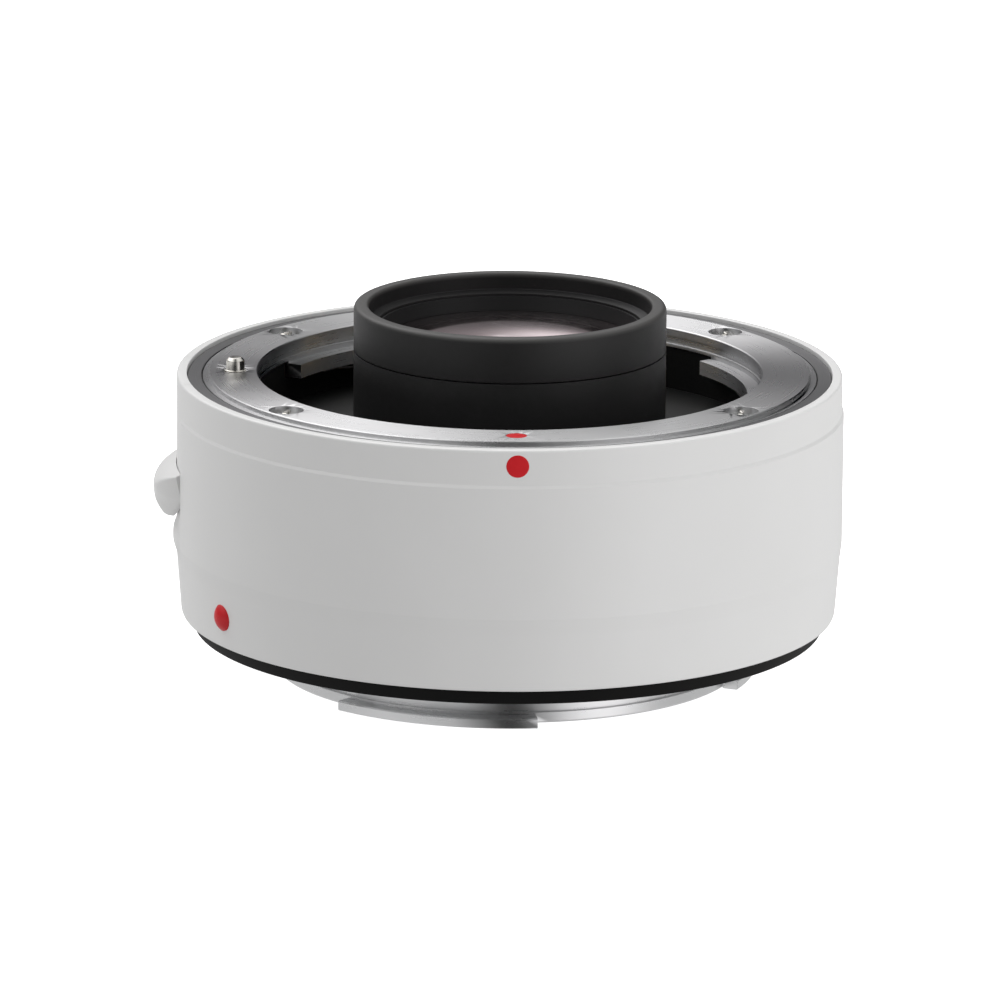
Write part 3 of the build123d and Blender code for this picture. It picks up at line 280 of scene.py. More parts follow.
def turning_marks(finish, groove):
    """A noise that is the same all round the optical axis, with features of this width."""
    x = finish.node("ShaderNodeSeparateXYZ", {}, {0: finish.place}, "X")
    y, z = x.of("Y"), x.of("Z")
    radius = (x * x + y * y).math("SQRT")
    return finish.node("ShaderNodeTexNoise", {"noise_dimensions": "1D"},
                       {"W": (radius + z) / groove, "Scale": 1.0, "Detail": 2.0})


def polished_flange():
    finish = Finish("polished_flange")
    marks = turning_marks(finish, 0.35 * mm)
    haze = finish.noise(4 * mm)
    tone = finish.blend(haze * 0.5 + marks * 0.5, colour(0.70, 0.705, 0.71), colour(0.76, 0.76, 0.765))
    return finish.shade(Base_Color=tone, Metallic=1.0, Roughness=marks * 0.03 + haze * 0.03 + 0.25,
                        Anisotropic=1.0, Anisotropic_Rotation=quarter_turn,
                        Normal=finish.bump(marks, 0.0006 * mm, 0.3))


def satin_trim():
    finish = Finish("satin_trim")
    marks = turning_marks(finish, 0.12 * mm)
    speck = finish.noise(0.12 * mm)
    tone = finish.blend(speck * 0.6 + marks * 0.4, colour(0.13, 0.13, 0.135), colour(0.21, 0.21, 0.215))
    return finish.shade(Base_Color=tone, Metallic=0.85, Roughness=speck * 0.12 + 0.34,
                        Anisotropic=0.7, Anisotropic_Rotation=quarter_turn,
                        Normal=finish.bump(marks, 0.004 * mm))


# %% [markdown]
# ### White paint
#
# The shell has a thick enamel with a very fine orange peel, a warm light grey rather than white. Three noises
# make it: two fine ones for the peel, and a wide one that shifts the tone by a few percent, as real paint
# does.

# %% White paint
def white_paint():
    finish = Finish("white_paint")
    drift = finish.noise(9 * mm)
    peel = finish.noise(0.45 * mm, 3.0)
    dust = finish.noise(0.16 * mm, 1.0)
    tone = finish.blend(drift, colour(0.735, 0.735, 0.728), colour(0.765, 0.765, 0.76))
    normal = finish.bump(peel * 0.7 + dust * 0.3, 0.02 * mm, 0.35)
    return finish.shade(Base_Color=tone, Roughness=peel * 0.16 + 0.34, Normal=normal,
                        Coat_Weight=0.15, Coat_Roughness=0.25)


# %% [markdown]
# ### Black finishes
#
# No two blacks on this object are alike. The hood is a satin charcoal with a painted highlight, a paler band
# along the top of its rim, the well is a deep matt paint that keeps stray light down, and the sealing ring is
# matt rubber.
# Where one noise is enough for tone, roughness and bump, `grained` makes the finish in one call.

# %% Charcoal, black well, rubber, mouldings and castings
def charcoal_satin():
    finish = Finish("charcoal_satin")
    grain = finish.noise(0.14 * mm, 3.0)
    drift = finish.noise(5 * mm)
    coat = finish.blend(grain * 0.5 + drift * 0.5, colour(0.008, 0.008, 0.0085),
                        colour(0.015, 0.0147, 0.0147))
    # The top of the rim is blended towards a paler grey. This is a painted highlight where the rim faces the
    # light.
    height = finish.node("ShaderNodeSeparateXYZ", {}, {0: finish.place}, "Z")
    rim_start, rim_fade = hood_z - 0.55 * mm, 0.4 * mm
    painted_rim_highlight = ((height - rim_start) / rim_fade).math("MINIMUM", 1.0).math("MAXIMUM", 0.0)
    tone = finish.blend(painted_rim_highlight, coat, colour(0.060, 0.059, 0.057))
    normal = finish.bump(grain, 0.015 * mm)
    return finish.shade(Base_Color=tone, Roughness=grain * 0.12 + 0.42, Normal=normal,
                        Specular_IOR_Level=0.4)


black_well = grained("black_well", 0.2 * mm, 3.0, colour(0.006, 0.006, 0.006), colour(0.016, 0.016, 0.0155),
                     (0.42, 0.2), (0.03 * mm, 0.5), Specular_IOR_Level=0.25)
seal_rubber = grained("seal_rubber", 0.1 * mm, 2.0, colour(0.003, 0.003, 0.003),
                      colour(0.007, 0.0068, 0.0065), (0.5, 0.15), (0.01 * mm, 0.5), Specular_IOR_Level=0.08)


def black_moulding():
    finish = Finish("black_moulding")
    grain = finish.noise(0.25 * mm)
    flow = finish.noise(4 * mm)
    tone = finish.blend(flow, colour(0.012, 0.012, 0.013), colour(0.026, 0.026, 0.027))
    return finish.shade(Base_Color=tone, Roughness=grain * 0.15 + 0.32,
                        Normal=finish.bump(grain, 0.008 * mm))


def black_anodised():
    finish = Finish("black_anodised")
    marks = turning_marks(finish, 0.15 * mm)
    tone = finish.blend(marks, colour(0.011, 0.011, 0.0115), colour(0.022, 0.022, 0.0225))
    return finish.shade(Base_Color=tone, Metallic=0.3, Roughness=marks * 0.15 + 0.42,
                        Normal=finish.bump(marks, 0.006 * mm), Specular_IOR_Level=0.3)


def cast_black():
    finish = Finish("cast_black")
    pits = finish.node("ShaderNodeTexVoronoi", {}, {"Vector": finish.place, "Scale": 1 / (0.4 * mm)})
    grain = finish.noise(0.2 * mm, 3.0)
    tone = finish.blend(grain, colour(0.020, 0.020, 0.020), colour(0.045, 0.045, 0.044))
    return finish.shade(Base_Color=tone, Roughness=grain * 0.2 + 0.5,
                        Normal=finish.bump(pits * 0.5 + grain * 0.5, 0.05 * mm))


# %% [markdown]
# ### Small metal
#
# Screws and the lock pin are nickel plated, a touch warmer than the steel round them. Springs are darker, and
# contacts are gold with paler patches where the lens has rubbed them.

# %% Nickel, spring wire, gold
def nickel_plate():
    finish = Finish("nickel_plate")
    haze = finish.noise(0.5 * mm, 3.0)
    scuff = finish.noise(0.06 * mm)
    tone = finish.blend(haze, colour(0.66, 0.64, 0.60), colour(0.80, 0.78, 0.73))
    return finish.shade(Base_Color=tone, Metallic=1.0, Roughness=haze * 0.12 + 0.14,
                        Normal=finish.bump(scuff, 0.003 * mm, 0.4))


def gold_contact():
    finish = Finish("gold_contact")
    rub = finish.noise(0.35 * mm, 3.0)
    worn = [(0.3, (0.72, 0.47, 0.16)), (0.6, (0.86, 0.62, 0.27)), (0.8, (0.92, 0.78, 0.50))]
    tone = finish.node("ShaderNodeValToRGB", {"stops": worn}, {"Fac": rub})
    return finish.shade(Base_Color=tone, Metallic=1.0, Roughness=rub * 0.15 + 0.16)


spring_wire = grained("spring_wire", 0.3 * mm, 3.0, colour(0.38, 0.38, 0.39), colour(0.58, 0.58, 0.59),
                      (0.25, 0.15), Metallic=1.0)

# %% [markdown]
# ### Red marks
#
# The index marks are drops of enamel, satin and even, with only a slight drift in their tone.

# %% Red enamel
red_enamel = grained("red_enamel", 0.8 * mm, 2.0, colour(0.56, 0.010, 0.016), colour(0.64, 0.016, 0.022),
                     (0.35, 0.1), (0.01 * mm, 0.3), Specular_IOR_Level=0.3)

# %% [markdown]
# ### Electronics
#
# The board and its packages sit inside the shell and never show, but they keep their own colours so that an
# opened model reads well: solder green with paler traces, black packages and amber film.

# %% Board, packages and film
def solder_green():
    finish = Finish("solder_green")
    traces = finish.node("ShaderNodeTexBrick", {}, {
        "Vector": finish.place, "Scale": 1 / (3 * mm), "Mortar Size": 0.06,
        "Color1": colour(0.010, 0.085, 0.035), "Color2": colour(0.012, 0.105, 0.045),
        "Mortar": colour(0.030, 0.17, 0.070)})
    return finish.shade(Base_Color=traces, Roughness=finish.noise(1 * mm) * 0.15 + 0.25)


def amber_film():
    finish = Finish("amber_film")
    traces = finish.node("ShaderNodeTexWave", {}, {
        "Vector": finish.place, "Scale": 1 / (0.8 * mm), "Distortion": 0.0})
    tone = finish.blend(traces, colour(0.42, 0.15, 0.02), colour(0.62, 0.28, 0.07))
    return finish.shade(Base_Color=tone, Roughness=traces * 0.1 + 0.3)


package_black = grained("package_black", 0.08 * mm, 2.0, colour(0.014, 0.014, 0.015),
                        colour(0.040, 0.040, 0.041), (0.4, 0.2))

# %% [markdown]
# ### Coated glass
#
# The front glass is nearly black inside, and its coating turns reflections pink. A clear shader alone would
# reflect plain white, so the coating is a second, tinted gloss that is mixed in by how steeply the surface is
# seen: none of it from straight above and much of it from the side, as on a real lens. The clear part is
# given a smoky colour, a painted shade that stands in for the blackened barrel behind the real glass, which
# swallows what falls into it.

# %% Coated glass
def coated_glass(name, tint, strength, clearness_with_painted_shade):
    """Glass whose clear part is darkened to this clearness as a painted shade, with a coating of this tint
    and strength.
    """
    finish = Finish(name)
    bloom = finish.noise(6 * mm)
    # The clear part's Base Color is darkened by the clearness. This is a painted shade for the dark barrel
    # behind the glass.
    clear = finish.node("ShaderNodeBsdfPrincipled", {}, {
        "Base Color": colour(clearness_with_painted_shade, clearness_with_painted_shade * 0.97, clearness_with_painted_shade * 0.98), "Transmission Weight": 1.0,
        "IOR": 1.5, "Roughness": bloom * 0.01})
    gloss_tint = finish.blend(bloom, tint, colour(*(0.85 * part for part in tint[:3])))
    gloss = finish.node("ShaderNodeBsdfPrincipled", {}, {
        "Base Color": gloss_tint, "Metallic": 1.0, "Roughness": 0.09})
    slant = finish.node("ShaderNodeLayerWeight", {}, {"Blend": 0.5}, "Facing").math("POWER", 2.2)
    mixed = finish.node("ShaderNodeMixShader", {}, {0: slant * strength, 1: clear, 2: gloss})
    finish.node("ShaderNodeOutputMaterial", {}, {"Surface": mixed})
    return finish.material


# %% [markdown]
# Every finish is made once and looked up by name after that.

# %% Make the finishes
finishes = {
    "paint": white_paint(),
    "trim": satin_trim(),
    "steel": polished_flange(),
    "nickel": nickel_plate(),
    "spring": spring_wire,
    "red": red_enamel,
    "cast": cast_black(),
    "well": black_well,
    "moulding": black_moulding(),
    "gold": gold_contact(),
    "film": amber_film(),
    "board": solder_green(),
    "package": package_black,
    "anodised": black_anodised(),
    "charcoal": charcoal_satin(),
    "rubber": seal_rubber,
    "front_glass": coated_glass("front_glass", colour(0.95, 0.74, 0.76), 0.95, 0.35),
    "glass": coated_glass("inner_glass", colour(0.70, 0.85, 0.72), 0.3, 0.9),
}
print(len(finishes), "finishes")

# %% [markdown]
# ## Carrying the solids over
#
# The solids come in as loose triangles, which shade like a cut gem. Their meshes aren't touched. A geometry
# modifier welds the triangles at render time and smooths every edge except the real corners.

# %% A modifier that welds and smooths
def group(name, inputs):
    """A new geometry node tree with named inputs. Returns the tree and its inputs as wires."""
    nodes = bpy.data.node_groups.new(name, "GeometryNodeTree")
    nodes.interface.new_socket("Geometry", in_out="INPUT", socket_type="NodeSocketGeometry")
    nodes.interface.new_socket("Geometry", in_out="OUTPUT", socket_type="NodeSocketGeometry")
    for label, (kind, value) in inputs.items():
        socket = nodes.interface.new_socket(label, in_out="INPUT", socket_type="NodeSocket" + kind)
        if value is not None:
            socket.default_value = value
    tree = Tree(nodes)
    entry = tree.node("NodeGroupInput", {}, {})
    return tree, {label: entry.of(label) for label in ["Geometry", *inputs]}


def smooth_corners(tree, mesh, corner):
    """Smooth shading on all faces, and sharp edges where two faces meet at more than the corner angle."""
    smooth = tree.node("GeometryNodeSetShadeSmooth", {}, {"Geometry": mesh})
    edge_angle = tree.node("GeometryNodeInputMeshEdgeAngle", {}, {})
    sharp = tree.node("FunctionNodeCompare", {"operation": "GREATER_THAN"}, {0: edge_angle, 1: corner})
    return tree.node("GeometryNodeSetShadeSmooth", {"domain": "EDGE"},
                     {"Geometry": smooth, "Selection": sharp, "Shade Smooth": False})


def set_input(modifier, label, value):
    """Sets a modifier's input by the identifier of the socket with this label."""
    for item in modifier.node_group.interface.items_tree:
        if item.name == label and item.in_out == "INPUT":
            modifier[item.identifier] = value


weld_distance = 0.0005 * mm


def welding_tree():
    tree, inputs = group("weld_and_smooth", {
        "Distance": ("Float", weld_distance), "Corner": ("Float", math.radians(28))})
    welded = tree.node("GeometryNodeMergeByDistance", {},
                       {"Geometry": inputs["Geometry"], "Distance": inputs["Distance"]})
    tree.node("NodeGroupOutput", {}, {0: smooth_corners(tree, welded, inputs["Corner"])})
    return tree.nodes


weld_and_smooth = welding_tree()

# %% [markdown]
# Which finish each solid gets is a plain list, sorted by finish. The eleven contact pins and the five inner
# lens elements are numbered, so a loop adds them.

# %% Give every solid its finish
solid_finishes = {
    "paint": ["outer_housing", "release_lever"],
    "trim": ["front_trim_ring"],
    "steel": ["lens_mount_ring", "camera_mount"],
    "nickel": ["lens_mount_screws", "camera_mount_screws", "lock_pin", "lever_screws", "board_screws",
               "barrel_screws", "lens_contact_screws", "camera_contact_screws"],
    "spring": ["lens_mount_leaf_springs", "lock_pin_spring", "lever_return_springs", "contact_springs",
               "lever_carriage", "lever_guide_posts"],
    "red": ["body_index_dot", "flange_index_dot", "side_index_bead"],
    "cast": ["main_frame"],
    "well": ["well_liner", "camera_light_baffle"],
    "moulding": ["lens_contact_block", "camera_contact_block"],
    "gold": ["camera_contact_pads"] + [f"contact_pin_{i}" for i in range(1, 12)],
    "film": ["lens_flex", "camera_flex"],
    "board": ["main_board"],
    "package": ["board_chips"],
    "charcoal": ["front_hood", "lens_barrel"],
    "anodised": ["front_retaining_ring", "rear_retaining_ring", "group_spacer_front", "group_spacer_rear"],
    "rubber": ["camera_seal_ring"],
    "front_glass": ["lens_element_1", "lens_element_7"],
    "glass": [f"lens_element_{i}" for i in range(2, 7)],
}
for finish_name, node_names in solid_finishes.items():
    for node_name in node_names:
        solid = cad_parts[node_name]
        solid.data.materials.clear()
        solid.data.materials.append(finishes[finish_name])
        smoothing = solid.modifiers.new("weld_and_smooth", "NODES")
        smoothing.node_group = weld_and_smooth
print(sum(len(names) for names in solid_finishes.values()), "solids dressed")

# %% [markdown]
# ## Turned pieces
#
# Most of this object was made on a lathe, so one geometry tree can make most of its fine pieces. The profile
# is a line of points, each with a radius and a height. The tree lays a grid, reads the profile along one side
# of it and turns the other side round the axis. The profile runs clockwise, seen with the axis on the left,
# and then all faces point outwards.

# %% The lathe as a geometry tree
def lathe_tree():
    tree, inputs = group("lathe", {
        "Profile": ("Object", None), "Steps": ("Int", 360), "Corner": ("Float", math.radians(24)),
        "Finish": ("Material", None)})
    profile = tree.node("GeometryNodeObjectInfo", {}, {"Object": inputs["Profile"]}, "Geometry")
    count = tree.node("GeometryNodeAttributeDomainSize", {}, {"Geometry": profile}, "Point Count")
    grid = tree.node("GeometryNodeMeshGrid", {}, {
        "Size X": 1.0, "Size Y": 1.0, "Vertices X": count, "Vertices Y": inputs["Steps"] + 1})
    place = tree.node("GeometryNodeInputPosition", {}, {})
    along = tree.node("ShaderNodeSeparateXYZ", {}, {0: place}, "X")
    index = ((along + 0.5) * (count - 1)).math("ROUND")
    point = tree.node("GeometryNodeSampleIndex", {"data_type": "FLOAT_VECTOR"},
                      {"Geometry": profile, "Value": place, "Index": index})
    radius = tree.node("ShaderNodeSeparateXYZ", {}, {0: point}, "X")
    angle = (along.of("Y") + 0.5) * (2 * math.pi)
    turned = tree.node("ShaderNodeCombineXYZ", {}, {
        "X": radius * angle.math("COSINE"), "Y": radius * angle.math("SINE"), "Z": radius.of("Z")})
    shaped = tree.node("GeometryNodeSetPosition", {}, {"Geometry": grid, "Position": turned})
    closed = tree.node("GeometryNodeMergeByDistance", {}, {"Geometry": shaped, "Distance": 0.001 * mm})
    smooth = smooth_corners(tree, closed, inputs["Corner"])
    real = tree.node("GeometryNodeRealizeInstances", {}, {"Geometry": smooth})
    tree.node("NodeGroupOutput", {}, {0: tree.node("GeometryNodeSetMaterial", {}, {
        "Geometry": real, "Material": inputs["Finish"]})})
    return tree.nodes


lathe = lathe_tree()

# %% [markdown]
# A profile is written as its corners, each with the radius of its rounding. `rounded` puts a short arc at
# every corner that has one. A modifier's result is turned into a plain mesh, and the modifier goes.

# %% Profiles with rounded corners, and a helper that applies a tree
def rounded(corners, steps=6):
    """Corner points (radius, height, rounding) as a closed line with arcs at its corners."""
    points = []
    for i, (r, z, rounding) in enumerate(corners):
        here = Vector((r, z))
        before = Vector(corners[i - 1][:2]) - here
        after = Vector(corners[(i + 1) % len(corners)][:2]) - here
        if not rounding:
            points.append(here)
            continue
        half = before.angle(after) / 2
        reach = min(rounding / math.tan(half), 0.49 * before.length, 0.49 * after.length)
        start = here + before.normalized() * reach
        end = here + after.normalized() * reach
        for step in range(steps + 1):
            share = step / steps
            points.append((1 - share) ** 2 * start + 2 * share * (1 - share) * here + share ** 2 * end)
    return points + points[:1]


def as_object(name, vertices, edges=(), faces=()):
    """A new object from plain lists of vertices, edges and faces."""
    mesh = bpy.data.meshes.new(name)
    mesh.from_pydata([tuple(v) for v in vertices], list(edges), list(faces))
    return placed(name, mesh)


def drawn(name, shape):
    """A new object from a finished bmesh, which is freed."""
    mesh = bpy.data.meshes.new(name)
    shape.to_mesh(mesh)
    shape.free()
    return placed(name, mesh)


def apply_modifiers(piece):
    """Makes what an object's modifiers show its own plain mesh, and removes them."""
    bpy.context.view_layer.update()
    evaluated = piece.evaluated_get(bpy.context.evaluated_depsgraph_get())
    result = bpy.data.meshes.new_from_object(evaluated)
    piece.modifiers.clear()
    piece.data = result


def applied(name, carrier, tree, settings):
    """Runs a geometry tree on a carrier object and keeps the result as a piece with a plain mesh."""
    modifier = carrier.modifiers.new("tree", "NODES")
    modifier.node_group = tree
    for label, value in settings.items():
        set_input(modifier, label, value)
    apply_modifiers(carrier)
    mesh = carrier.data
    bpy.data.objects.remove(carrier)
    mesh.name = name
    return placed(name, mesh)


def smooth_faces(piece, corner=math.radians(24)):
    """Smooth shading with sharp edges at corners."""
    piece.data.polygons.foreach_set("use_smooth", [True] * len(piece.data.polygons))
    piece.data.set_sharp_from_angle(angle=corner)


def turned_piece(name, corners, finish_name, node):
    """A lathe piece from its corners, which stands for a solid."""
    line = rounded(corners)
    profile = as_object(name + "_profile", [(p.x, 0, p.y) for p in line],
                        [(i, i + 1) for i in range(len(line) - 1)])
    carrier = as_object(name + "_carrier", [(0, 0, 0)])
    piece = applied(name, carrier, lathe, {
        "Profile": profile, "Steps": 360, "Finish": finishes[finish_name]})
    bpy.data.objects.remove(profile)
    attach(piece, "converter")
    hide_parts(node)
    print(name, len(piece.data.polygons), "faces")
    return piece


# %% [markdown]
# ### The charcoal hood
#
# The hood is dark and its rim is the brightest line on it, so the rim's rounding is what shows. Inside, a
# ledge slopes down to the glass.

# %% The hood
hood_wall = 1.6 * mm
ledge_drop = 1.8 * mm
ledge_slope = 0.25 * mm
spigot_r = 15.53 * mm
glass_bore_r = 14.2 * mm
spigot_z = hood_low_z + 1.53 * mm
hood = turned_piece("hood_shell", [
    (hood_r - hood_wall, hood_z, 0.35 * mm), (hood_r, hood_z, 0.6 * mm), (hood_r, hood_low_z, 0.08 * mm),
    (spigot_r, hood_low_z, 0), (spigot_r, spigot_z, 0), (glass_bore_r, spigot_z, 0),
    (glass_bore_r, hood_z - ledge_drop - ledge_slope, 0.05 * mm),
    (hood_r - hood_wall, hood_z - ledge_drop, 0.12 * mm),
], "charcoal", "front_hood")

# %% [markdown]
# The real hood is blackened inside, so that no stray light comes off its wall. A second piece could be laid
# inside it, but the faces are already there: those inside the wall and below the rim get the matt black.

# %% Blacken the hood's inside
inside_of_hood = hood_r - hood_wall + 0.05 * mm
below_rim = hood_z - 0.5 * mm
hood.data.materials.append(finishes["well"])
for face in hood.data.polygons:
    if face.center.xy.length < inside_of_hood and face.center.z < below_rim:
        face.material_index = 1
print(sum(face.material_index for face in hood.data.polygons), "faces are matt black")

# %% [markdown]
# ### The two steel mounts and the lock pin
#
# These were milled after they were turned: tabs, recesses and holes make them too uneven for a lathe profile.
# A copy of the solid is merged, its flat faces are joined into large ones, and a Bevel modifier breaks every
# sharp edge. Those thin rounded edges are what catches the light on real machined metal. Then every face is
# cut into triangles, and weighted normals keep the large flat faces flat in the shading.

# %% Steel mounts and lock pin with broken edges
flat_angle = math.radians(0.4)
corner_angle = math.radians(32)
mount_edge, pin_edge = 0.09 * mm, 0.05 * mm


def fine_copy(name, node, finish_name, width, body="converter"):
    """A copy of a solid with its flat faces joined up and its corners rounded by this width."""
    copied = bmesh.new()
    copied.from_mesh(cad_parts[node].data)
    bmesh.ops.remove_doubles(copied, verts=copied.verts, dist=weld_distance)
    bmesh.ops.dissolve_limit(copied, angle_limit=flat_angle, verts=copied.verts, edges=copied.edges)
    piece = drawn(name, copied)
    piece.data.polygons.foreach_set("use_smooth", [True] * len(piece.data.polygons))
    rounding = piece.modifiers.new("rounding", "BEVEL")
    rounding.width = width
    rounding.segments = 2
    rounding.limit_method = "ANGLE"
    rounding.angle_limit = corner_angle
    triangles = piece.modifiers.new("triangles", "TRIANGULATE")
    triangles.min_vertices = 4
    piece.modifiers.new("flat_shading", "WEIGHTED_NORMAL")
    apply_modifiers(piece)
    piece.data.materials.clear()
    piece.data.materials.append(finishes[finish_name])
    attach(piece, body)
    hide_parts(node)
    print(name, len(piece.data.polygons), "faces")


fine_copy("lens_side_mount", "lens_mount_ring", "steel", mount_edge)
fine_copy("camera_side_mount", "camera_mount", "steel", mount_edge)
fine_copy("locking_pin", "lock_pin", "nickel", pin_edge, "lock_pin")

# %% [markdown]
# ### Trim ring and sealing ring
#
# The trim ring fills the gap between the white lip and the steel flange. The rubber ring on the other side
# has a thin lip that presses on the camera.

# %% Trim ring and sealing ring
trim_inner_r = 33.1 * mm
turned_piece("trim_ring", [
    (trim_inner_r, trim_z, 0.12 * mm), (trim_r, trim_z, 0.15 * mm), (trim_r, trim_low_z, 0),
    (trim_inner_r, trim_low_z, 0),
], "trim", "front_trim_ring")

seal_inner_r = 32.9 * mm
seal_top_z, seal_root_z = 1.0 * mm, 0.1 * mm
seal_lip_r, seal_lip_width = seal_r - 0.82 * mm, 0.65 * mm
turned_piece("seal_ring", [
    (seal_inner_r, seal_z, 0), (seal_r, seal_z, 0.1 * mm), (seal_r, seal_top_z, 0.2 * mm),
    (seal_lip_r, seal_low_z, 0.25 * mm), (seal_lip_r - seal_lip_width, seal_low_z, 0.2 * mm),
    (seal_inner_r, seal_root_z, 0.3 * mm),
], "rubber", "camera_seal_ring")

# %% [markdown]
# ### The front and rear glass
#
# A lens surface has to be smooth in its shading as well as its shape, so it gets a fine profile. The curve
# comes from its radius: the further from the axis, the deeper the drop from the vertex.

# %% Front and rear glass
def bowl(surface_radius, r):
    """How far a surface has bent away from its vertex at this distance from the axis."""
    return abs(surface_radius) - math.sqrt(surface_radius ** 2 - r ** 2)


def surface_line(vertex_z, surface_radius, edge_r, points):
    """Points from the axis to the edge along a spherical surface that bulges up if its radius is positive."""
    radii = [edge_r * step / points for step in range(points + 1)]
    return [(r, vertex_z - math.copysign(bowl(surface_radius, r), surface_radius), 0) for r in radii]


def glass_piece(name, node, top_radius, bottom_radius):
    """A lens element between two spherical surfaces, in the space of its solid."""
    low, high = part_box(node)
    edge_r = high.x
    top_z = high.z if top_radius > 0 else high.z - bowl(top_radius, edge_r)
    bottom_z = low.z if bottom_radius < 0 else low.z + bowl(bottom_radius, edge_r)
    top = surface_line(top_z, top_radius, edge_r, 40)
    bottom = surface_line(bottom_z, bottom_radius, edge_r, 24)
    turned_piece(name, top + bottom[::-1], "front_glass", node)


glass_piece("front_glass", "lens_element_1", 60 * mm, -38 * mm)
glass_piece("rear_glass", "lens_element_7", -60 * mm, 120 * mm)

# %% [markdown]
# ## Screws
#
# Four cross-head screws hold the flange, and four more the camera side. Their slots never line up, because
# each was driven home until it was tight. One tree makes a screw once and sets a copy on each place, turned
# by a random angle from a fixed seed.

# %% Screws as instances
def screw_tree():
    """A domed head with a crossed slot, copied to every point of the carrier."""
    tree, inputs = group("cross_head_screws", {
        "Head radius": ("Float", 1.7 * mm), "Head height": ("Float", 0.5 * mm),
        "Slot width": ("Float", 0.42 * mm), "Slot length": ("Float", 2.1 * mm), "Seed": ("Int", 3),
        "Flip": ("Float", 0.0), "Finish": ("Material", None)})
    radius, height = inputs["Head radius"], inputs["Head height"]
    head = tree.node("GeometryNodeMeshCylinder", {}, {
        "Vertices": 64, "Side Segments": 4, "Fill Segments": 6, "Radius": radius, "Depth": height})
    place = tree.node("GeometryNodeInputPosition", {}, {})
    x = tree.node("ShaderNodeSeparateXYZ", {}, {0: place}, "X")
    out = (x * x + x.of("Y") * x.of("Y")).math("SQRT") / radius
    fall = out.math("POWER", 4.0) * height * 0.45
    up = x.of("Z").math("GREATER_THAN", 0.0)
    sink = tree.node("ShaderNodeCombineXYZ", {}, {"Z": fall * up * -1})
    domed = tree.node("GeometryNodeSetPosition", {}, {"Geometry": head, "Offset": sink})
    size = tree.node("ShaderNodeCombineXYZ", {}, {
        "X": inputs["Slot length"], "Y": inputs["Slot width"], "Z": height})
    block = tree.node("GeometryNodeMeshCube", {}, {"Size": size})
    lift = tree.node("ShaderNodeCombineXYZ", {}, {"Z": height * 0.6})
    cut = domed
    for turn_angle in (0, math.pi / 2):
        arm = tree.node("GeometryNodeTransform", {}, {
            "Geometry": block, "Translation": lift, "Rotation": (0, 0, turn_angle)})
        cut = tree.node("GeometryNodeMeshBoolean", {"operation": "DIFFERENCE"},
                        {"Mesh 1": cut, "Mesh 2": arm})
    angle = tree.node("FunctionNodeRandomValue", {"data_type": "FLOAT"}, {
        "Min": 0.0, "Max": math.pi / 2, "Seed": inputs["Seed"]}, 1)
    spin = tree.node("ShaderNodeCombineXYZ", {}, {"X": inputs["Flip"], "Z": angle})
    copies = tree.node("GeometryNodeInstanceOnPoints", {}, {
        "Points": inputs["Geometry"], "Instance": cut, "Rotation": spin})
    real = tree.node("GeometryNodeRealizeInstances", {}, {"Geometry": copies})
    smooth = smooth_corners(tree, real, math.radians(35))
    tree.node("NodeGroupOutput", {}, {0: tree.node("GeometryNodeSetMaterial", {}, {
        "Geometry": smooth, "Material": inputs["Finish"]})})
    return tree.nodes


cross_head_screws = screw_tree()


def screw_set(name, ring_r, angles, top_z, up, head_height, node):
    """Screw heads on a circle, with their tops at a height. They point up, or down for the camera side."""
    middle_z = top_z - up * head_height / 2
    places = [(ring_r * math.cos(a), ring_r * math.sin(a), middle_z) for a in map(math.radians, angles)]
    carrier = as_object(name + "_places", places)
    heads = applied(name, carrier, cross_head_screws, {
        "Head height": head_height, "Flip": 0.0 if up > 0 else math.pi, "Finish": finishes["nickel"]})
    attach(heads, "converter")
    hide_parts(node)
    print(name, len(heads.data.polygons), "faces")


lens_screws_r, camera_screws_r = 30.3 * mm, 29.4 * mm
lens_screws_z, camera_screws_z = flange_z - 0.42 * mm, 0.12 * mm
lens_head, camera_head = 0.4 * mm, 0.62 * mm
screw_set("lens_screw_heads", lens_screws_r, (37.5, 142.5, 217.5, 322.5), lens_screws_z, 1, lens_head,
          "lens_mount_screws")
screw_set("camera_screw_heads", camera_screws_r, (45, 135, 225, 315), camera_screws_z, -1, camera_head,
          "camera_mount_screws")

# %% [markdown]
# ## The white shell
#
# The shell is turned too, but it isn't round everywhere: a shallow channel is let into it for the thumb
# lever, and below the lever the wall swells into a low boss. So it is built ring by ring in mesh code. Each
# point starts on the turned profile, and near the lever it is moved in or out by a formula. The rings stand
# closer together there.

# %% The shell's profile and the lever's place on it
wall_r = 36.0 * mm
top_band_r = wall_r - 0.2 * mm
lip_inner_r = 34.7 * mm
bore_r = 34.5 * mm
shelf_r = 33.5 * mm
step_z = flange_z - 4.0 * mm
line_z = step_z - 14.3 * mm
bevel_z = line_z - 1.7 * mm
outer_side_from_r = 35.1 * mm
foot_r = 35.27 * mm
foot_bevel_r, foot_bevel_z = 35.35 * mm, 1.2 * mm
foot_bore_r, foot_shelf_z = 35.0 * mm, 2.0 * mm
shelf_z, lip_floor_z = 24.0 * mm, 25.1 * mm
boss_low_z, boss_fade = 7.4 * mm, 1.7 * mm
boss_top_z, boss_top_fade = 9.5 * mm, 1.5 * mm
boss_half, boss_side_fade = math.radians(7.8), math.radians(3.2)
boss_rise = 0.22 * mm
channel_low_z = 9.6 * mm
channel_fade = 1.5 * mm
channel_half = math.radians(10.6)
channel_side = 0.0025


def ease(share):
    """Goes from 0 to 1 with a soft start and end."""
    share = min(max(share, 0.0), 1.0)
    return share * share * (3 - 2 * share)


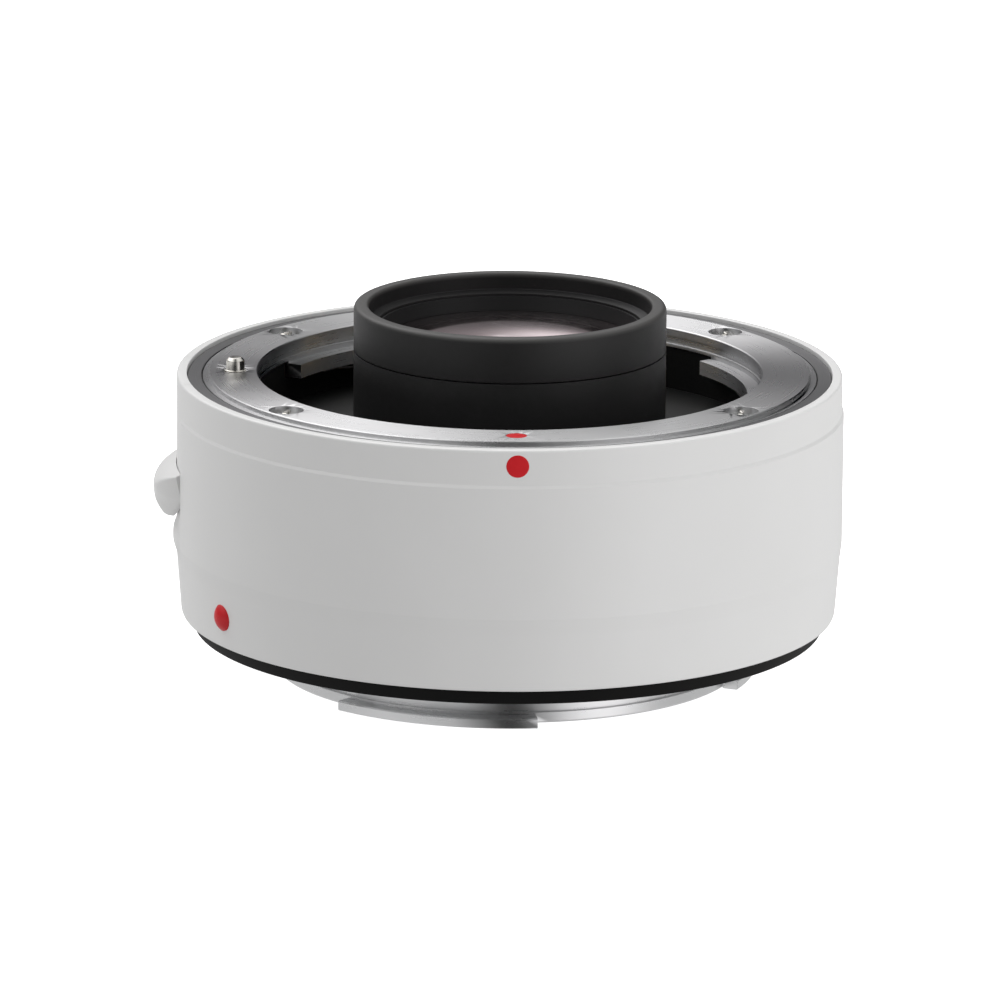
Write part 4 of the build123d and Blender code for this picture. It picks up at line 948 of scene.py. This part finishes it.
def wall_near_lever(r, angle, z):
    """The wall's radius near the lever, at an angle from it: a shallow channel, with a low boss below it."""
    side = 1 - ease((abs(angle) - channel_half + channel_side) / (2 * channel_side))
    channel = ease((z - channel_low_z) / channel_fade) * side
    boss = ease((z - boss_low_z) / boss_fade) * (1 - ease((z - boss_top_z) / boss_top_fade))
    boss_side = 1 - ease((abs(angle) - boss_half) / boss_side_fade)
    return r - max(r - top_band_r, 0.0) * channel + boss_rise * boss * boss_side


def shell_profile():
    """The outer line from the lip down to the foot, then the inner line back up."""
    corners = [
        (lip_inner_r, lip_z, 0.12 * mm), (top_band_r, lip_z, 0.32 * mm),
        (top_band_r, step_z + 0.10 * mm, 0.06 * mm), (wall_r, step_z - 0.22 * mm, 0.10 * mm),
        (wall_r, line_z, 0.10 * mm), (top_band_r, bevel_z, 0.25 * mm),
        (foot_bevel_r, foot_bevel_z, 0.1 * mm), (foot_r, foot_z, 0.05 * mm), (foot_bore_r, foot_z, 0),
        (foot_bore_r, foot_shelf_z, 0), (bore_r, foot_shelf_z, 0), (bore_r, shelf_z, 0),
        (shelf_r, shelf_z, 0), (shelf_r, lip_floor_z, 0), (lip_inner_r, lip_floor_z, 0),
    ]
    line = rounded(corners)[:-1]
    dense = []
    for first, second in zip(line, line[1:] + line[:1]):
        dense.append(first)
        on_wall = min(first.x, second.x) > outer_side_from_r and first.y > second.y
        if on_wall:
            pieces = max(1, round((first.y - second.y) / (0.22 * mm)))
            dense += [first.lerp(second, i / pieces) for i in range(1, pieces)]
    return dense


def shell_angles():
    """Angles from the lever, close together at the channel's sides and two degrees apart elsewhere."""
    near = [math.radians(a) for a in (0, 1.5, 3, 4.5, 6, 7.2, 8.2, 9, 9.6, 10.1, 10.5)]
    edge = [channel_half + s * 0.0013 for s in (-3, -2, -1, 0, 1, 2, 3)]
    far = [math.radians(a) for a in range(12, 179, 2)]
    half = near + edge + far
    return [-a for a in reversed(half[1:])] + half + [math.pi]


# %% [markdown]
# The rings are joined into a closed tube of faces, and then the slot for the lever's stem is cut through the
# wall with a Boolean modifier. At rest the slot hides behind the lever, and its top shows when the lever is
# down. Without it the stem would pass through solid metal.

# %% Build the shell
def build_shell():
    profile = shell_profile()
    angles = shell_angles()
    shell = bmesh.new()
    rings = []
    for angle in angles:
        ring = []
        for point in profile:
            outside = point.x > outer_side_from_r
            r = wall_near_lever(point.x, angle, point.y) if outside else point.x
            turn_angle = math.pi + angle
            ring.append(shell.verts.new((r * math.cos(turn_angle), r * math.sin(turn_angle), point.y)))
        rings.append(ring)
    for ring, following in zip(rings, rings[1:] + rings[:1]):
        for i in range(len(profile)):
            j = (i + 1) % len(profile)
            shell.faces.new((ring[i], ring[j], following[j], following[i]))
    bmesh.ops.recalc_face_normals(shell, faces=shell.faces)
    return drawn("white_shell", shell)


def add_block(mesh, centre, size):
    """Adds a plain block."""
    made = bmesh.ops.create_cube(mesh, size=1.0)["verts"]
    for vertex in made:
        vertex.co = Vector([c * s for c, s in zip(vertex.co, size)]) + Vector(centre)


slot_centre = (-35.2 * mm, 0, 14.1 * mm)
slot_size = (4 * mm, 5.3 * mm, 4.1 * mm)


def cut_slot(piece):
    """Cuts the stem's slot, which is as long as the stem and its travel."""
    block = bmesh.new()
    add_block(block, slot_centre, slot_size)
    cutter = drawn("slot_cutter", block)
    cutting = piece.modifiers.new("slot", "BOOLEAN")
    cutting.object = cutter
    cutting.operation = "DIFFERENCE"
    cutting.solver = "EXACT"
    apply_modifiers(piece)
    bpy.data.objects.remove(cutter)


white_shell = build_shell()
cut_slot(white_shell)
smooth_faces(white_shell)
white_shell.data.materials.append(finishes["paint"])
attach(white_shell, "converter")
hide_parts("outer_housing")
print("white_shell", len(white_shell.data.polygons), "faces")

# %% [markdown]
# ## The thumb lever
#
# Seen from the side, the lever is a dome above and a belly below that tucks in at the foot. Seen from above,
# it is a flat arc that melts into the barrel at both ends. The surface is where dome and face meet, softened
# by a smooth minimum. The two are level in the middle and cross higher up towards the ends, so the ridge
# between them runs up to the body there, as it does on the real one.

# %% The lever's surface as a formula
lever_wall_r = top_band_r
lever_reach = 2.48 * mm
lever_half_width = 6.3 * mm
lever_top_z = 17.15 * mm
lever_ridge_z = 14.3 * mm
lever_low_z = 11.5 * mm
lever_foot_rise = 1.3 * mm
face_lean = 0.22
belly_curve = 0.15 / mm
ridge_softness = 0.3 * mm
relief_rise = 0.85 * mm
relief_height = 2.4 * mm


def soft_minimum(first, second, softness):
    """The smaller of two lengths, rounded where they meet."""
    share = min(max(0.5 + 0.5 * (second - first) / softness, 0.0), 1.0)
    return second + (first - second) * share - softness * share * (1 - share)


def lever_bulge(y, z):
    """How far the lever's outer surface stands out of the channel."""
    rise = min(max((z - lever_ridge_z) / (lever_top_z - lever_ridge_z), 0.0), 1.0)
    dome = lever_reach * (1 - rise ** 2.8)
    above = max(z - lever_ridge_z, 0.0)
    below = max(lever_ridge_z - z, 0.0)
    bow = lever_reach * (y / lever_half_width) ** 2
    face = lever_reach + face_lean * above - belly_curve * below ** 2 - bow
    return soft_minimum(dome + ridge_softness / 4, face + ridge_softness / 4, ridge_softness)


def relief(z):
    """The hollow under the lever, which clears the boss when the lever is down."""
    return relief_rise * max(0.0, 1 - (z - lever_low_z) / relief_height)


def lever_foot(y):
    """The height of the lever's foot, which curves up towards both ends."""
    z = lever_low_z + lever_foot_rise * (y / lever_half_width) ** 2
    while z < lever_top_z and lever_bulge(y, z) < relief(z) + 0.12 * mm:
        z += 0.01 * mm
    return z


# %% [markdown]
# The lever is lofted from upright sections, one for each place across its width. Every section runs down the
# outside, round the foot and back up behind, so all sections have the same number of points. A plain block is
# the stem that reaches through the slot into the barrel.

# %% Build the lever
def lever_section(y, steps=48):
    """Points (distance from the channel's floor, height) round one upright section."""
    foot = lever_foot(y)
    edge = 0.3 * mm
    seat = 0.03 * mm
    points = []
    for step in range(steps + 1):
        share = (1 - math.cos(math.pi * step / steps)) / 2
        z = lever_top_z + (foot - lever_top_z) * share
        near_foot = max(0.0, edge - (z - foot))
        bulge = lever_bulge(y, z) - (edge - math.sqrt(edge ** 2 - near_foot ** 2))
        points.append((max(bulge, seat), z))
    hollow_top = max(lever_low_z + relief_height, foot + 0.05 * mm)
    hollow_low = max(min(relief(foot), points[-1][0] - 0.02 * mm), seat / 2)
    points.append((hollow_low, foot))
    points.append((seat / 2, hollow_top))
    points.append((seat / 2, (hollow_top + lever_top_z) / 2))
    return points


stem_centre = (-34.9 * mm, 0, 15.1 * mm)
stem_size = (2.4 * mm, 5.0 * mm, 1.8 * mm)


def build_lever():
    across = 48
    lever = bmesh.new()
    sections = []
    for i in range(across + 1):
        share = math.sin(math.pi / 2 * (2 * i / across - 1))
        y = share * (lever_half_width + 0.05 * mm)
        section = []
        for bulge, z in lever_section(y):
            r = lever_wall_r + bulge
            angle = math.pi - y / lever_wall_r
            section.append(lever.verts.new((r * math.cos(angle), r * math.sin(angle), z)))
        sections.append(section)
    for first, second in zip(sections, sections[1:]):
        for i in range(len(first)):
            j = (i + 1) % len(first)
            lever.faces.new((first[i], first[j], second[j], second[i]))
    lever.faces.new(sections[0])
    lever.faces.new(sections[-1][::-1])
    add_block(lever, stem_centre, stem_size)
    bmesh.ops.recalc_face_normals(lever, faces=lever.faces)
    return drawn("thumb_lever", lever)


thumb_lever = build_lever()
smooth_faces(thumb_lever, math.radians(38))
thumb_lever.data.materials.append(finishes["paint"])
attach(thumb_lever, "release_lever")
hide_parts("release_lever")
print("thumb_lever", len(thumb_lever.data.polygons), "faces")

# %% [markdown]
# ## The index dot on the shell
#
# The red dot is a round drop of enamel that follows the barrel's curve. It is made as rings of points round
# its centre, each laid on the cylinder, with the rim rounded down into the paint.

# %% The dot
def curved_dot(name, radius, centre_angle, centre_z, wall):
    """A thin round drop of enamel on the barrel's wall."""
    dot = bmesh.new()
    around, rings = 64, ((0.35, 1.0), (0.7, 1.0), (0.88, 0.95), (0.96, 0.7), (1.0, 0.0), (1.0, -1.5))
    height = 0.035 * mm

    def on_wall(u, v, lift):
        angle = centre_angle + u / wall
        r = wall + lift
        return dot.verts.new((r * math.cos(angle), r * math.sin(angle), centre_z + v))

    middle = on_wall(0, 0, height)
    loops = []
    for share, lift in rings:
        loop = [on_wall(radius * share * math.cos(a), radius * share * math.sin(a), height * lift)
                for a in (2 * math.pi * i / around for i in range(around))]
        loops.append(loop)
    for i in range(around):
        j = (i + 1) % around
        dot.faces.new((middle, loops[0][i], loops[0][j]))
        for inner, outer in zip(loops, loops[1:]):
            dot.faces.new((inner[i], outer[i], outer[j], inner[j]))
    dot.faces.new(loops[-1][::-1])
    bmesh.ops.recalc_face_normals(dot, faces=dot.faces)
    piece = drawn(name, dot)
    smooth_faces(piece, math.radians(50))
    piece.data.materials.append(finishes["red"])
    print(name, len(piece.data.polygons), "faces")
    return piece


front = -math.pi / 2
index_dot = curved_dot("index_dot", 1.2 * mm, front, flange_z - 1.82 * mm, top_band_r)
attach(index_dot, "converter")
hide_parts("body_index_dot")

# %% [markdown]
# ## Floor and light
#
# The product stands in a white sweep without a visible shadow. So the floor glows as white as the picture can
# be, which drowns the shadow, and takes no part in the light: it throws none on the object, stops none from
# below, and mirrors don't see it.

# %% The floor
def pale_floor():
    finish = Finish("pale_floor")
    drift = finish.noise(200 * mm, 1.0)
    tone = finish.blend(drift, colour(0.90, 0.90, 0.90), colour(0.92, 0.92, 0.92))
    return finish.shade(Base_Color=tone, Roughness=0.9, Specular_IOR_Level=0.0,
                        Emission_Color=tone, Emission_Strength=1.0)


floor_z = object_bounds()[0].z
floor_half = 6.0
floor = as_object("floor", [(-floor_half, -floor_half, floor_z), (floor_half, -floor_half, floor_z),
                            (floor_half, floor_half, floor_z), (-floor_half, floor_half, floor_z)],
                  faces=[(0, 1, 2, 3)])
floor.data.materials.append(pale_floor())
floor.visible_diffuse = False
floor.visible_shadow = False
floor.visible_glossy = False

# %% [markdown]
# Polished steel shows whatever surrounds it, so the world is a drawn studio. Its lower half is the pale
# table. It is dim just above the horizon, where the sides of the flange look when seen from a low angle, and
# bright overhead, more so behind on the left than on the right. A small glow behind the object lights the
# front glass. Two bright cards stand in front, left and right, with a dark strip between them where the
# camera is: the steel tube below shows all three.

# %% The world
world = bpy.data.worlds.new("studio")
world.use_nodes = True
world.node_tree.nodes.clear()
bpy.context.scene.world = world
sky = Tree(world.node_tree)
direction = sky.node("ShaderNodeTexCoord", {}, {}, "Generated")
elevation = sky.node("ShaderNodeSeparateXYZ", {}, {0: direction}, "Z")
ceiling = sky.node("ShaderNodeValToRGB", {"stops": [
    (0.0, (0.75, 0.75, 0.75)), (0.01, (0.05, 0.05, 0.053)), (0.34, (0.07, 0.07, 0.073)),
    (0.56, (0.70, 0.70, 0.70)), (0.76, (1.15, 1.15, 1.15))]}, {"Fac": elevation})


def glow(azimuth, height, tightness, strength):
    """A soft patch of light in the world, at an azimuth and elevation in degrees."""
    around, up = math.radians(azimuth), math.radians(height)
    middle = (math.cos(up) * math.cos(around), math.cos(up) * math.sin(around), math.sin(up))
    nearness = sky.node("ShaderNodeVectorMath", {"operation": "DOT_PRODUCT"},
                        {0: direction, 1: middle}, "Value")
    return nearness.math("MAXIMUM", 0.0).math("POWER", tightness) * strength


high_on_the_left = glow(116, 42, 12, 1.7)
behind_the_glass = glow(84, 21, 320, 1.5)
right_card = glow(316, -5, 14, 1.2)
left_card = glow(212, 5, 14, 0.3)
shade_on_the_right = glow(71, 34, 30, 0.75)
patches = high_on_the_left + behind_the_glass + right_card + left_card - shade_on_the_right

to_the_right = elevation.of("X")
above = elevation.math("GREATER_THAN", 0.0)
in_front = elevation.of("Y").math("LESS_THAN", 0.0)
right_fall = 0.45
strip_half, strip_depth, strip_least = 0.42, 1.1, 0.08
strip = (1 - to_the_right.math("ABSOLUTE") / strip_half).math("MAXIMUM", 0.0) * in_front
strip_shade = (1 - strip * strip_depth).math("MAXIMUM", strip_least)
ceiling_light = sky.node("ShaderNodeBackground", {}, {
    "Color": ceiling, "Strength": (1 - to_the_right * above * right_fall) * strip_shade})
patch_light = sky.node("ShaderNodeBackground", {}, {"Color": colour(1.0, 0.98, 0.99), "Strength": patches})
both = sky.node("ShaderNodeAddShader", {}, {0: ceiling_light, 1: patch_light})
sky.node("ShaderNodeOutputWorld", {}, {"Surface": both})
print(len(sky.nodes.nodes), "nodes in the world")

# %% [markdown]
# Three softboxes light the paint, the strongest from the right, as the photograph's shading shows. Mirrors
# don't see them, so that the steel shows only the drawn studio.

# %% Softboxes
object_middle = Vector((0, 0, 0.01))


def softbox(name, place, size, power):
    """A large square light that faces the object and isn't seen in mirrors."""
    light = bpy.data.lights.new(name, "AREA")
    light.shape = "SQUARE"
    light.size = size
    light.energy = power
    lamp = placed(name, light)
    lamp.location = place
    lamp.rotation_euler = (object_middle - Vector(place)).to_track_quat("-Z", "Y").to_euler()
    lamp.visible_glossy = False
    print(name, power, "W")


softbox("overhead_softbox", (-0.2, 0.5, 1.4), 1.2, 4)
softbox("right_softbox", (1.3, -0.75, 0.5), 0.8, 9.5)
softbox("left_softbox", (-1.35, -0.5, 0.6), 0.8, 1.6)

# %% [markdown]
# A photograph of a white product on white keeps its whites, so the picture uses the plain view transform
# instead of a filmic one.

# %% Finish
bpy.context.scene.view_settings.view_transform = "Standard"
